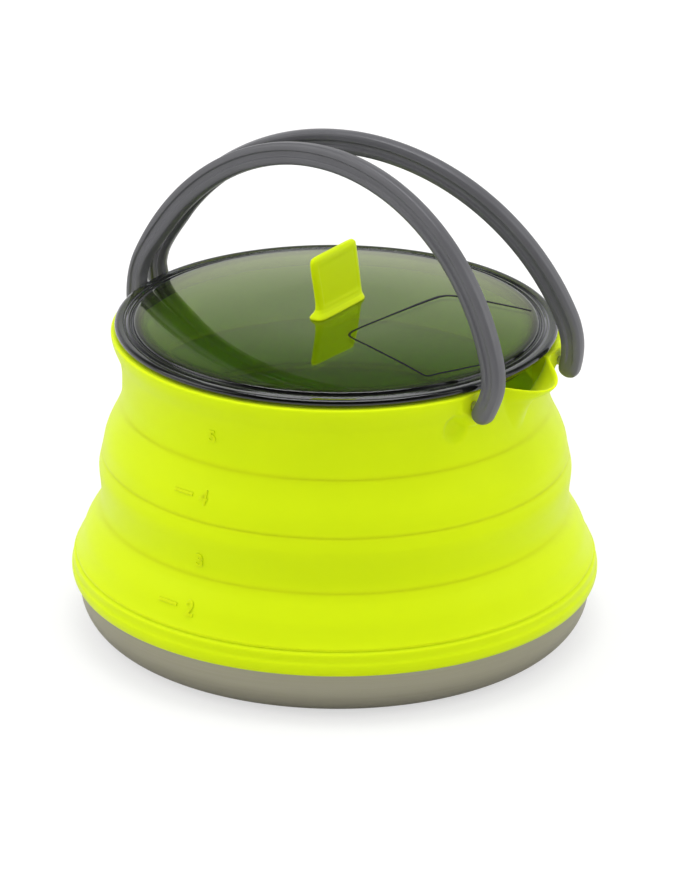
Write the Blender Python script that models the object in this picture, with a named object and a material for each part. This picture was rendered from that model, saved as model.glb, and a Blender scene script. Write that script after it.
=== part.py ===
"""Collapsible camping kettle: an aluminium pan, a folding silicone wall, two bails and a clear lid.

The origin is the centre of the pan's underside. +Z is up and +X points out through the spout.
All lengths are in metres and all angles in degrees.
"""

import math

import bmesh
import bpy
from mathutils import Matrix, Vector

# Fit and resolution
SEAT_GAP = 0.0003
CUT_OVERRUN = 0.0010
WALL_STEPS = 56
RIM_STEPS = 112
RIM_CROWDING_SHARE = 0.35
PIN_SIDES = 14
CORNER_STEPS = 2

# Base pan
PAN_RADIUS = 0.07424
PAN_WALL = 0.0015
PAN_FLOOR = 0.0018
PAN_CORNER = 0.0110
PAN_HEIGHT = 0.0195
PAN_CORNER_STEPS = 4

# Wall skirt, the thick silicone ring round the pan's rim
SKIRT_WALL = 0.00206
SKIRT_OVERLAP = 0.0050
SKIRT_CAP = 0.0025
SKIRT_TOP_INSET = 0.0009
SKIRT_EDGE_ROUND = 0.0012
SKIRT_LIP_WALL = 0.0012
SKIRT_LIP_DEPTH = 0.0022
SKIRT_RADIUS = PAN_RADIUS + SEAT_GAP + SKIRT_WALL
SKIRT_TOP_RADIUS = SKIRT_RADIUS - SKIRT_TOP_INSET
SKIRT_BOTTOM_Z = PAN_HEIGHT - SKIRT_OVERLAP
SKIRT_TOP_Z = PAN_HEIGHT + SKIRT_CAP

# Fold webs, thin silicone cones that turn inside out, and the middle band between them
WEB_WALL = 0.0016
WEB_STEPS = 3
BAND_WALL = 0.0024
LOWER_WEB_HEIGHT = 0.0143
LOWER_WEB_TAPER = 0.0074
LOWER_WEB_BULGE = 0.0003
MIDDLE_BAND_HEIGHT = 0.0162
MIDDLE_WAIST_INSET = 0.0006
MIDDLE_CREST_INSET = 0.0008
UPPER_WEB_HEIGHT = 0.0152
UPPER_WEB_TAPER = 0.0056
UPPER_WEB_BULGE = 0.0006
LOWER_VALLEY_RADIUS = SKIRT_TOP_RADIUS - LOWER_WEB_TAPER
LOWER_VALLEY_Z = SKIRT_TOP_Z + LOWER_WEB_HEIGHT
MIDDLE_CREST_RADIUS = LOWER_VALLEY_RADIUS - MIDDLE_CREST_INSET
MIDDLE_CREST_Z = LOWER_VALLEY_Z + MIDDLE_BAND_HEIGHT
UPPER_VALLEY_RADIUS = MIDDLE_CREST_RADIUS - UPPER_WEB_TAPER
UPPER_VALLEY_Z = MIDDLE_CREST_Z + UPPER_WEB_HEIGHT

# Upper band: waist, flare and rim
WAIST_INSET = 0.0005
WAIST_RISE = 0.0068
FLARE_OUTSET = 0.0003
FLARE_RISE = 0.0055
RIM_OUTSET = 0.0027
RIM_RISE = 0.0080
RIM_EDGE_ROUND = 0.0012
RIM_EDGE_RISE = 0.0013
RIM_LIP_WIDTH = 0.0052
WAIST_RADIUS = UPPER_VALLEY_RADIUS - WAIST_INSET
WAIST_Z = UPPER_VALLEY_Z + WAIST_RISE
FLARE_RADIUS = WAIST_RADIUS + FLARE_OUTSET
FLARE_Z = WAIST_Z + FLARE_RISE
RIM_RADIUS = FLARE_RADIUS + RIM_OUTSET
RIM_Z = FLARE_Z + RIM_RISE
RIM_TOP_Z = RIM_Z + RIM_EDGE_RISE
RIM_INNER_RADIUS = RIM_RADIUS - RIM_LIP_WIDTH

# Spout, pushed out of the rim
SPOUT_REACH = 0.0080
SPOUT_HALF_ANGLE = 12.5
SPOUT_FOOT_HALF_ANGLE = 2.0
SPOUT_DEPTH = 0.0173
SPOUT_TIP_DROP = 0.0025
SPOUT_WALL = 0.0018
SPOUT_EDGE_POWER = 1.5
SPOUT_RISE_POWER = 1.4
SPOUT_MOUTH_HALF_ANGLE = 13.4
SPOUT_MOUTH_FADE_ANGLE = 1.2
SPOUT_FOOT_Z = RIM_TOP_Z - SPOUT_DEPTH

# Rim ring, a stiff C under the rim's top lip, open at the spout
RING_WALL = 0.0020
RING_HEIGHT = 0.0060
RING_COVER = 0.0010
RING_OPEN_HALF_ANGLE = 15.5
RING_INNER_RADIUS = RIM_INNER_RADIUS - SEAT_GAP
RING_TOP_Z = RIM_TOP_Z - RING_COVER
RING_BOTTOM_Z = RING_TOP_Z - RING_HEIGHT

# Pivots: the two hinge lines draw together away from the spout
PIVOT_DROP = 0.0036
FRONT_FOOT_ANGLE = 18.8
BACK_FOOT_ANGLE = 5.0
FRONT_FOOT_OUTSET = 0.0039
BACK_FOOT_OUTSET = 0.0022
PIN_RADIUS = 0.0013
PIN_DEPTH_IN_FOOT = 0.0034
PIN_RUNNING_GAP = 0.00008
PAD_RADIUS = 0.0056
PAD_FADE = 0.0030
BOSS_HEIGHT = 0.0006
BOSS_HALF_WIDTH = 0.0062
BOSS_HALF_HEIGHT = 0.0058
BOSS_DROP = 0.0042
BOSS_OFFSET_ANGLE = 4.0
PIVOT_Z = RIM_TOP_Z - PIVOT_DROP
FRONT_FOOT_RADIUS = RIM_RADIUS + FRONT_FOOT_OUTSET
BACK_FOOT_RADIUS = RIM_RADIUS + BACK_FOOT_OUTSET

# Bails
BAIL_RISE = 0.0566
BAIL_DEPTH = 0.0061
BAIL_WIDTH = 0.0045
BAIL_EDGE = 0.0011
BAIL_GROOVE_WIDTH = 0.0016
BAIL_GROOVE_DEPTH = 0.0006
BAIL_FOOT_BEND = 0.0242
BAIL_FOOT_TURN_IN = 11.0
BAIL_FOOT_TAIL = 0.0045
BAIL_FOOT_DEPTH = 0.0052
BAIL_ARCH_STEPS = 13
BAIL_BEND_STEPS = 6
BAIL_ARCH_SEARCH_SHARES = (1.5, 6.0)
BAIL_ARCH_HALVINGS = 60
BAIL_END_STEPS = 3
BAIL_END_SWING = 75.0
BAIL_END_WIDTH_SHARE = 0.45
FRONT_BAIL_LEAN = 8.6
REAR_BAIL_LEAN = 4.9

# Lid
LID_INSET = 0.00155
LID_FLANGE = 0.0020
LID_BEAD_MARGIN = 0.00385
LID_BEAD_WIDTH = 0.0012
LID_BEAD_HEIGHT = 0.0003
LID_DOME_MARGIN = 0.00885
LID_DOME_EDGE_RISE = 0.0029
LID_DOME_RISE = 0.0025
LID_DOME_STEPS = 3
LID_CENTRE_SHARE = 0.17
LID_SHOULDER = 0.0008
LID_WALL = 0.0022
LID_PLUG_GAP = 0.0007
LID_PLUG_WALL = 0.0018
LID_PLUG_DEPTH = 0.0036
LID_RADIUS = RIM_RADIUS - LID_INSET
LID_DOME_RADIUS = LID_RADIUS - LID_DOME_MARGIN
LID_BOTTOM_Z = RIM_TOP_Z + SEAT_GAP
LID_DOME_EDGE_Z = LID_BOTTOM_Z + LID_DOME_EDGE_RISE
LID_CROWN_Z = LID_DOME_EDGE_Z + LID_DOME_RISE
LID_PLUG_RADIUS = RIM_INNER_RADIUS - LID_PLUG_GAP

# Pull tab
TAB_LENGTH = 0.0242
TAB_TOP_LENGTH = 0.0214
TAB_HEIGHT = 0.0176
TAB_LEAN = 0.0017
TAB_THICKNESS = 0.0034
TAB_CORNER = 0.0022
TAB_FOOT_THICKNESS = 0.0064
TAB_FOOT_HEIGHT = 0.0012
TAB_STEM_LENGTH = 0.0100
TAB_STEM_THICKNESS = 0.0030
TAB_RETAINER_LENGTH = 0.0150
TAB_RETAINER_THICKNESS = 0.0070
TAB_RETAINER_HEIGHT = 0.0024

FULL_TURN = 2.0 * math.pi


def material(name, colour, roughness, metallic=0.0, alpha=1.0):
    """A Principled material in the finish of one real part."""
    finish = bpy.data.materials.new(name)
    finish.use_nodes = True
    shader = finish.node_tree.nodes["Principled BSDF"]
    shader.inputs["Base Color"].default_value = (*colour, 1.0)
    shader.inputs["Roughness"].default_value = roughness
    shader.inputs["Metallic"].default_value = metallic
    shader.inputs["Alpha"].default_value = alpha
    return finish


def smooth_step(value):
    """A soft ramp from 0 to 1 with level ends."""
    value = min(1.0, max(0.0, value))
    return value * value * (3.0 - 2.0 * value)


def new_object(name, bm, finish, sharp_angle=35.0):
    """Close a bmesh into a named, smooth-shaded object with its own finish."""
    bmesh.ops.recalc_face_normals(bm, faces=bm.faces)
    mesh = bpy.data.meshes.new(name)
    bm.to_mesh(mesh)
    bm.free()
    mesh.materials.append(finish)
    mesh.shade_smooth()
    mesh.set_sharp_from_angle(angle=math.radians(sharp_angle))
    piece = bpy.data.objects.new(name, mesh)
    bpy.context.scene.collection.objects.link(piece)
    return piece


def loft(sections, closed_path, closed_section=True):
    """Join equal sections into one body: in a ring, or capped at both ends.

    An open section, used for a solid of revolution with a flat top and bottom, is capped across its ends.
    """
    bm = bmesh.new()
    rows = [[bm.verts.new(point) for point in section] for section in sections]
    count = len(rows[0])
    row_pairs = len(rows) if closed_path else len(rows) - 1
    column_pairs = count if closed_section else count - 1
    for row in range(row_pairs):
        here = rows[row]
        there = rows[(row + 1) % len(rows)]
        for column in range(column_pairs):
            following = (column + 1) % count
            bm.faces.new((here[column], here[following], there[following], there[column]))
    if not closed_path:
        bm.faces.new(rows[0])
        bm.faces.new(rows[-1])
    if not closed_section:
        bm.faces.new([row[0] for row in rows])
        bm.faces.new([row[-1] for row in rows])
    return bm


def turned(profile, closed_section=True, steps=WALL_STEPS):
    """A solid of revolution about Z from an outline of (radius, height) points."""
    sections = []
    for step in range(steps):
        angle = FULL_TURN * step / steps
        sections.append([(r * math.cos(angle), r * math.sin(angle), z) for r, z in profile])
    return loft(sections, closed_path=True, closed_section=closed_section)


def arc(centre, radius, start, end, steps):
    """Points on an arc in (radius, height) space, angles in degrees from the outward direction."""
    points = []
    for step in range(steps + 1):
        angle = math.radians(start + (end - start) * step / steps)
        points.append((centre[0] + radius * math.cos(angle), centre[1] + radius * math.sin(angle)))
    return points


def base_pan(finish):
    """The spun aluminium pan: a flat floor, a round corner and a plain upright rim."""
    inner_corner = PAN_CORNER - PAN_WALL
    corner_centre = PAN_RADIUS - PAN_CORNER
    outline = arc((corner_centre, PAN_CORNER), PAN_CORNER, -90.0, 0.0, PAN_CORNER_STEPS)
    outline.append((PAN_RADIUS, PAN_HEIGHT))
    outline.append((PAN_RADIUS - PAN_WALL, PAN_HEIGHT))
    inner_floor_corner = arc(
        (corner_centre, PAN_FLOOR + inner_corner), inner_corner, 0.0, -90.0, PAN_CORNER_STEPS
    )
    outline += inner_floor_corner
    return new_object("base_pan", turned(outline, closed_section=False), finish)


def wall_skirt(finish):
    """The skirt hooks over the pan's rim and carries the lower fold web on its top."""
    slot_outer = PAN_RADIUS + SEAT_GAP
    slot_inner = PAN_RADIUS - PAN_WALL - SEAT_GAP
    slot_top = PAN_HEIGHT + SEAT_GAP
    middle_z = (SKIRT_BOTTOM_Z + SKIRT_TOP_Z) / 2.0
    outline = [
        (slot_outer, SKIRT_BOTTOM_Z),
        (SKIRT_RADIUS - SKIRT_EDGE_ROUND, SKIRT_BOTTOM_Z + SKIRT_EDGE_ROUND / 2.0),
        (SKIRT_RADIUS, middle_z - SKIRT_EDGE_ROUND),
        (SKIRT_RADIUS, middle_z + SKIRT_EDGE_ROUND),
        (SKIRT_TOP_RADIUS, SKIRT_TOP_Z),
        (SKIRT_TOP_RADIUS - WEB_WALL, SKIRT_TOP_Z),
        (slot_inner - SKIRT_LIP_WALL, slot_top),
        (slot_inner - SKIRT_LIP_WALL, slot_top - SKIRT_LIP_DEPTH),
        (slot_inner, slot_top - SKIRT_LIP_DEPTH),
        (slot_inner, slot_top),
        (slot_outer, slot_top),
    ]
    return new_object("wall_skirt", turned(outline), finish)


def fold_web(name, finish, low, high, bulge):
    """A thin cone between two fold lines, swollen a little so that it snaps from one side to the other."""
    bottom_z = low[1] + SEAT_GAP
    top_z = high[1] - SEAT_GAP
    outer = []
    for step in range(WEB_STEPS + 1):
        share = step / WEB_STEPS
        soft_share = (share + smooth_step(share)) / 2.0
        radius = low[0] + (high[0] - low[0]) * soft_share + bulge * math.sin(math.pi * share)
        outer.append((radius, bottom_z + (top_z - bottom_z) * share))
    inner = [(radius - WEB_WALL, z) for radius, z in reversed(outer)]
    return new_object(name, turned(outer + inner), finish)


def middle_band(finish):
    """The stiff hoop between the two webs: a slight waist low down and a belly under its crest."""
    waist_radius = LOWER_VALLEY_RADIUS - MIDDLE_WAIST_INSET
    height_shares = (0.0, 0.22, 0.44, 0.66, 0.86, 1.0)
    radii = (
        LOWER_VALLEY_RADIUS,
        waist_radius,
        waist_radius,
        LOWER_VALLEY_RADIUS,
        (LOWER_VALLEY_RADIUS + MIDDLE_CREST_RADIUS) / 2.0,
        MIDDLE_CREST_RADIUS,
    )
    outer = [(r, LOWER_VALLEY_Z + MIDDLE_BAND_HEIGHT * share) for r, share in zip(radii, height_shares)]
    inner_top = MIDDLE_CREST_RADIUS - BAND_WALL
    inner_bottom = waist_radius - BAND_WALL
    inner = [(inner_top, MIDDLE_CREST_Z), (inner_bottom, LOWER_VALLEY_Z)]
    return new_object("middle_band", turned(outer + inner), finish)


def foot_points():
    """Bail name, pin name, foot centre and outward hinge direction of each of the four feet."""
    feet = []
    for bail_name, side in (("front_bail", -1.0), ("rear_bail", 1.0)):
        near, far = hinge_ends(side)
        outward = (near - far).normalized()
        feet.append((bail_name, bail_name + "_spout_pin", near, outward))
        feet.append((bail_name, bail_name + "_back_pin", far, -outward))
    return feet


def hinge_ends(side):
    """The two foot centres of one bail; side is -1 for the front bail and +1 for the rear one."""
    near_angle = math.radians(side * FRONT_FOOT_ANGLE)
    far_angle = math.radians(180.0 - side * BACK_FOOT_ANGLE)
    near = Vector((math.cos(near_angle), math.sin(near_angle), 0.0)) * FRONT_FOOT_RADIUS
    far = Vector((math.cos(far_angle), math.sin(far_angle), 0.0)) * BACK_FOOT_RADIUS
    near.z = PIVOT_Z
    far.z = PIVOT_Z
    return near, far


def upper_outer_radius(z):
    """Outline of the upper band: waist, flare, rim, and a rounded top edge."""
    stations = (
        (UPPER_VALLEY_Z, UPPER_VALLEY_RADIUS),
        (WAIST_Z, WAIST_RADIUS),
        (FLARE_Z, FLARE_RADIUS),
        (RIM_Z, RIM_RADIUS),
        (RIM_TOP_Z, RIM_RADIUS - RIM_EDGE_ROUND / 2.0),
    )
    for (low_z, low_r), (high_z, high_r) in zip(stations, stations[1:]):
        if z <= high_z:
            share = (z - low_z) / (high_z - low_z)
            return low_r + (high_r - low_r) * smooth_step(share)
    return stations[-1][1]


def spout_shape(angle, z):
    """How much of the spout's full reach stands out at an angle (degrees from the spout) and height."""
    rise = max(0.0, (z - SPOUT_FOOT_Z) / (RIM_TOP_Z - SPOUT_FOOT_Z))
    half_angle = SPOUT_FOOT_HALF_ANGLE + (SPOUT_HALF_ANGLE - SPOUT_FOOT_HALF_ANGLE) * rise
    across = abs(angle) / half_angle
    if across >= 1.0:
        return 0.0
    return rise ** SPOUT_RISE_POWER * (1.0 - across * across) ** SPOUT_EDGE_POWER


def foot_inner_reach():
    """How far a foot's inner side lies from its centre: half its depth, and the turned-in tail below it."""
    tail = (BAIL_FOOT_TAIL - BAIL_FOOT_DEPTH / 2.0) * math.sin(math.radians(BAIL_FOOT_TURN_IN))
    return BAIL_FOOT_DEPTH / 2.0 + tail


def pad_and_boss(angle, z, radius):
    """Level the rim to a flat round pad facing each bail foot, and swell a soft boss beside it."""
    for _, _, foot, outward in foot_points():
        foot_angle = math.degrees(math.atan2(foot.y, foot.x))
        away = (angle - foot_angle + 180.0) % 360.0 - 180.0
        along = math.radians(away) * radius
        if abs(along) > (PAD_RADIUS + PAD_FADE) * 2.0:
            continue
        turn = 1.0 if foot_angle < 0.0 else -1.0
        if abs(foot_angle) > 90.0:
            turn = -turn
        boss_along = math.radians(away + turn * BOSS_OFFSET_ANGLE) * radius
        boss_up = z - (PIVOT_Z - BOSS_DROP)
        spread = (boss_along / BOSS_HALF_WIDTH) ** 2 + (boss_up / BOSS_HALF_HEIGHT) ** 2
        radius += BOSS_HEIGHT * smooth_step(1.0 - spread)
        facing = math.cos(math.radians(angle)) * outward.x + math.sin(math.radians(angle)) * outward.y
        pad = (foot.dot(outward) - foot_inner_reach() - SEAT_GAP) / facing
        reach = math.hypot(along, z - PIVOT_Z)
        weight = smooth_step((PAD_RADIUS + PAD_FADE - reach) / PAD_FADE)
        radius += (pad - radius) * weight
    return radius


def upper_section(angle):
    """One closed section of the upper band at an angle in degrees from the spout."""
    groove_radius = RING_INNER_RADIUS + RING_WALL + SEAT_GAP
    groove_top = RING_TOP_Z + SEAT_GAP
    groove_bottom = RING_BOTTOM_Z - SEAT_GAP
    outer_z = [
        UPPER_VALLEY_Z,
        (UPPER_VALLEY_Z + WAIST_Z) / 2.0,
        WAIST_Z,
        (WAIST_Z + FLARE_Z) / 2.0,
        FLARE_Z,
        (FLARE_Z + PIVOT_Z) / 2.0,
        PIVOT_Z,
        RIM_Z,
        RIM_TOP_Z,
    ]
    inner_wall = WAIST_RADIUS - BAND_WALL
    inner = [
        (RIM_INNER_RADIUS, RIM_TOP_Z),
        (RIM_INNER_RADIUS, groove_top),
        (groove_radius, groove_top),
        (groove_radius, groove_bottom),
        (inner_wall, groove_bottom),
        (inner_wall, WAIST_Z),
        (UPPER_VALLEY_RADIUS - BAND_WALL, UPPER_VALLEY_Z),
    ]
    turn = math.radians(angle)
    points = []

    def place(radius, z):
        drop = SPOUT_TIP_DROP * spout_shape(angle, RIM_TOP_Z)
        ramp = smooth_step((z - FLARE_Z) / (RIM_TOP_Z - FLARE_Z))
        points.append((radius * math.cos(turn), radius * math.sin(turn), z - drop * ramp))

    for z in outer_z:
        plain = upper_outer_radius(z) + SPOUT_REACH * spout_shape(angle, z)
        place(pad_and_boss(angle, z, plain), z)
    mouth = smooth_step((SPOUT_MOUTH_HALF_ANGLE - abs(angle)) / SPOUT_MOUTH_FADE_ANGLE)
    for radius, z in inner:
        open_radius = upper_outer_radius(z) + SPOUT_REACH * spout_shape(angle, z) - SPOUT_WALL
        open_radius = max(radius, open_radius)
        place(radius + (open_radius - radius) * mouth, z)
    return points


def upper_band(finish):
    """The top hoop with rim, spout and pivot bosses, its sections crowded towards the spout."""
    sections = []
    for step in range(RIM_STEPS):
        even = FULL_TURN * (step / RIM_STEPS - 0.5)
        crowded = even - RIM_CROWDING_SHARE * math.sin(even)
        sections.append(upper_section(math.degrees(crowded)))
    piece = new_object("upper_band", loft(sections, closed_path=True), finish)
    for _, pin_name, foot, outward in foot_points():
        bore_for_pin(piece, pin_name, foot, outward, 0.0, finish)
    return piece


def rim_ring(finish):
    """The stiff C-shaped ring under the rim's top lip, bored for the four pivot pins."""
    outer = RING_INNER_RADIUS + RING_WALL
    outline = [
        (outer, RING_BOTTOM_Z),
        (outer, RING_TOP_Z),
        (RING_INNER_RADIUS, RING_TOP_Z),
        (RING_INNER_RADIUS, RING_BOTTOM_Z),
    ]
    sections = []
    for step in range(WALL_STEPS + 1):
        angle = RING_OPEN_HALF_ANGLE + (360.0 - 2.0 * RING_OPEN_HALF_ANGLE) * step / WALL_STEPS
        turn = math.radians(angle)
        sections.append([(r * math.cos(turn), r * math.sin(turn), z) for r, z in outline])
    piece = new_object("rim_ring", loft(sections, closed_path=False), finish)
    for _, pin_name, foot, outward in foot_points():
        bore_for_pin(piece, pin_name, foot, outward, 0.0, finish)
    return piece


def ring_distance(foot):
    """How far the inside of the rim ring lies behind a foot's centre."""
    return math.hypot(foot.x, foot.y) - RING_INNER_RADIUS


def pivot_rod(name, foot, outward, radius, start, end, finish):
    """A round rod on a hinge line; start and end are measured outwards from the foot's centre."""
    bm = bmesh.new()
    bmesh.ops.create_cone(
        bm, cap_ends=True, segments=PIN_SIDES, radius1=radius, radius2=radius, depth=end - start
    )
    turn = outward.to_track_quat("Z", "Y").to_matrix().to_4x4()
    middle = foot + outward * (start + end) / 2.0
    bmesh.ops.transform(bm, matrix=Matrix.Translation(middle) @ turn, verts=bm.verts)
    return new_object(name, bm, finish)


def cut(piece, cutter):
    """Cut one piece with another that is only a tool and never shows."""
    cutter.hide_render = True
    cutter.display_type = "WIRE"
    boolean = piece.modifiers.new("cut_" + cutter.name, "BOOLEAN")
    boolean.operation = "DIFFERENCE"
    boolean.solver = "EXACT"
    boolean.object = cutter


def bore_for_pin(piece, pin_name, foot, outward, end, finish):
    """Bore a piece for one pivot pin, with running clearance, from inside the rim out to a stated end."""
    name = piece.name + "_bore_for_" + pin_name
    start = -ring_distance(foot) - CUT_OVERRUN
    cut(piece, pivot_rod(name, foot, outward, PIN_RADIUS + PIN_RUNNING_GAP, start, end, finish))


def pin_end():
    """How far a pin's tip lies outside the foot's centre, in its blind hole."""
    return PIN_DEPTH_IN_FOOT - BAIL_FOOT_DEPTH / 2.0


def pivot_pins(finish):
    """Four steel pins, set in the rim ring and running in blind holes in the bail feet."""
    for _, pin_name, foot, outward in foot_points():
        start = SEAT_GAP - ring_distance(foot)
        pivot_rod(pin_name, foot, outward, PIN_RADIUS, start, pin_end(), finish)


def bail_path(half_length):
    """Half of a bail's centre line, apex to foot, as (along the hinge, up, direction) stations.

    A long arc runs round the pot. A tighter bend then turns the foot in past upright to the pivot.
    The long arc's radius is found by halving, so that the foot lands on the pivot.
    """
    turn_in = math.radians(BAIL_FOOT_TURN_IN)
    low, high = (BAIL_FOOT_BEND * share for share in BAIL_ARCH_SEARCH_SHARES)
    for _ in range(BAIL_ARCH_HALVINGS):
        arch = (low + high) / 2.0
        cosine = (arch - BAIL_RISE + BAIL_FOOT_BEND * math.sin(turn_in)) / (arch - BAIL_FOOT_BEND)
        change = math.acos(min(1.0, max(-1.0, cosine)))
        reach = (arch - BAIL_FOOT_BEND) * math.sin(change) + BAIL_FOOT_BEND * math.cos(turn_in)
        if reach > half_length:
            high = arch
        else:
            low = arch
    stations = []
    for step in range(BAIL_ARCH_STEPS + 1):
        phi = change * step / BAIL_ARCH_STEPS
        stations.append((arch * math.sin(phi), BAIL_RISE - arch + arch * math.cos(phi), phi))
    end = math.pi / 2.0 + turn_in
    bend_u = (arch - BAIL_FOOT_BEND) * math.sin(change)
    bend_v = BAIL_RISE - arch + (arch - BAIL_FOOT_BEND) * math.cos(change)
    for step in range(1, BAIL_BEND_STEPS + 1):
        phi = change + (end - change) * step / BAIL_BEND_STEPS
        u = bend_u + BAIL_FOOT_BEND * math.sin(phi)
        v = bend_v + BAIL_FOOT_BEND * math.cos(phi)
        stations.append((u, v, phi))
    return stations, end


def bail_section(depth, width, groove_share):
    """A bail's section: a rounded bar with a groove along its outer and inner face."""
    half_depth = depth / 2.0
    half_width = width / 2.0
    groove = BAIL_GROOVE_WIDTH / 2.0 * depth / BAIL_DEPTH
    floor = half_width - BAIL_GROOVE_DEPTH * groove_share
    edge = BAIL_EDGE * min(depth / BAIL_DEPTH, width / BAIL_WIDTH)
    face = [
        (half_depth, half_width - edge),
        (half_depth - edge, half_width),
        (groove, half_width),
        (0.0, floor),
        (-groove, half_width),
        (edge - half_depth, half_width),
        (-half_depth, half_width - edge),
    ]
    return face + [(-a, -b) for a, b in face]


def foot_end(foot_u, foot_v, direction):
    """Stations of a foot below its pivot: a short straight tail that closes in a half round."""
    straight = BAIL_FOOT_TAIL - BAIL_FOOT_DEPTH / 2.0
    stations = []
    for step in range(BAIL_END_STEPS + 1):
        swing = math.radians(BAIL_END_SWING) * step / BAIL_END_STEPS
        along = straight + BAIL_FOOT_DEPTH / 2.0 * math.sin(swing)
        narrowing = math.cos(swing)
        width = BAIL_WIDTH * (BAIL_END_WIDTH_SHARE + (1.0 - BAIL_END_WIDTH_SHARE) * narrowing)
        u = foot_u + along * math.cos(direction)
        v = foot_v - along * math.sin(direction)
        stations.append((u, v, direction, BAIL_FOOT_DEPTH * narrowing, width, 0.0))
    return stations


def bail(name, side, lean, finish):
    """One bail: its section carried along the arch, with rounded foot ends and blind pivot holes."""
    near, far = hinge_ends(side)
    stations, direction = bail_path((near - far).length / 2.0)
    half = []
    for index, (u, v, phi) in enumerate(stations):
        taper = smooth_step((index - BAIL_ARCH_STEPS) / BAIL_BEND_STEPS)
        depth = BAIL_DEPTH + (BAIL_FOOT_DEPTH - BAIL_DEPTH) * taper
        half.append((u, v, phi, depth, BAIL_WIDTH, 1.0 - taper))
    half += foot_end(*stations[-1][:2], direction)
    mirrored = [(-u, v, -phi, *size) for u, v, phi, *size in half[:0:-1]]
    sections = []
    for u, v, phi, *size in mirrored + half:
        ring = []
        for across, out in bail_section(*size):
            ring.append((u + across * math.sin(phi), out, v + across * math.cos(phi)))
        sections.append(ring)
    piece = new_object(name, loft(sections, closed_path=False), finish)
    hinge_turn = math.atan2((near - far).y, (near - far).x)
    piece.matrix_world = (
        Matrix.Translation((near + far) / 2.0)
        @ Matrix.Rotation(hinge_turn, 4, "Z")
        @ Matrix.Rotation(math.radians(side * lean), 4, "X")
    )
    for bail_name, pin_name, foot, outward in foot_points():
        if bail_name == name:
            bore_for_pin(piece, pin_name, foot, outward, pin_end() + SEAT_GAP, finish)
    return piece


def lid_dome(drop):
    """The lid's shallow dome from its edge to a small flat centre, lowered by a stated drop."""
    points = []
    for step in range(LID_DOME_STEPS + 1):
        share = 1.0 - (1.0 - LID_CENTRE_SHARE) * step / LID_DOME_STEPS
        fall = (share * share - LID_CENTRE_SHARE ** 2) / (1.0 - LID_CENTRE_SHARE ** 2)
        points.append((LID_DOME_RADIUS * share, LID_CROWN_Z - LID_DOME_RISE * fall - drop))
    return points


def lid_disc(finish):
    """The clear lid: flange and bead, a shallow dome, and a plug that drops inside the rim."""
    flange_top = LID_BOTTOM_Z + LID_FLANGE
    bead = LID_RADIUS - LID_BEAD_MARGIN
    outline = [
        (LID_RADIUS - LID_SHOULDER, LID_BOTTOM_Z),
        (LID_RADIUS, LID_BOTTOM_Z + LID_FLANGE / 2.0),
        (LID_RADIUS - LID_SHOULDER, flange_top),
        (bead + LID_BEAD_WIDTH / 2.0, flange_top),
        (bead, flange_top + LID_BEAD_HEIGHT),
        (bead - LID_BEAD_WIDTH / 2.0, flange_top),
        (LID_DOME_RADIUS + LID_SHOULDER, LID_DOME_EDGE_Z - LID_SHOULDER / 2.0),
    ]
    outline += lid_dome(0.0)
    plug_inner = LID_PLUG_RADIUS - LID_PLUG_WALL
    underside = LID_DOME_EDGE_Z - LID_WALL
    inner = lid_dome(LID_WALL)[::-1]
    inner += [
        (plug_inner - LID_SHOULDER, underside),
        (plug_inner, underside - LID_SHOULDER),
        (plug_inner, LID_BOTTOM_Z - LID_PLUG_DEPTH),
        (LID_PLUG_RADIUS, LID_BOTTOM_Z - LID_PLUG_DEPTH),
        (LID_PLUG_RADIUS, LID_BOTTOM_Z),
    ]
    outline.reverse()
    inner.reverse()
    bm = turned(outline + inner, closed_section=False)
    piece = new_object("lid_disc", bm, finish)
    slot_bottom = LID_CROWN_Z - LID_WALL - CUT_OVERRUN
    slot_top = LID_CROWN_Z + CUT_OVERRUN
    cut(piece, box_tool("stem_slot", tab_stem_size(SEAT_GAP), slot_bottom, slot_top, finish))
    return piece


def tab_stem_size(clearance):
    """Half thickness and half length of the tab's stem, with a clearance all round."""
    return TAB_STEM_THICKNESS / 2.0 + clearance, TAB_STEM_LENGTH / 2.0 + clearance


def box_tool(name, half_sizes, bottom, top, finish):
    """A plain box on the lid's axis, used as a cutter."""
    half_x, half_y = half_sizes
    corners = [(-half_x, -half_y), (half_x, -half_y), (half_x, half_y), (-half_x, half_y)]
    sections = [[(x, y, z) for x, y in corners] for z in (bottom, top)]
    return new_object(name, loft(sections, closed_path=False), finish)


def rounded_rectangle(thickness, length, corner, z, lean=0.0):
    """A rounded rectangle at one height, thickness along X, length along Y, moved along -Y by its lean."""
    corner = min(corner, thickness / 2.0)
    points = []
    for quarter, (sign_x, sign_y) in enumerate(((1, 1), (-1, 1), (-1, -1), (1, -1))):
        centre_x = sign_x * (thickness / 2.0 - corner)
        centre_y = sign_y * (length / 2.0 - corner) - lean
        for step in range(CORNER_STEPS + 1):
            angle = FULL_TURN / 4.0 * (quarter + step / CORNER_STEPS)
            points.append((centre_x + corner * math.cos(angle), centre_y + corner * math.sin(angle), z))
    return points


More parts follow.
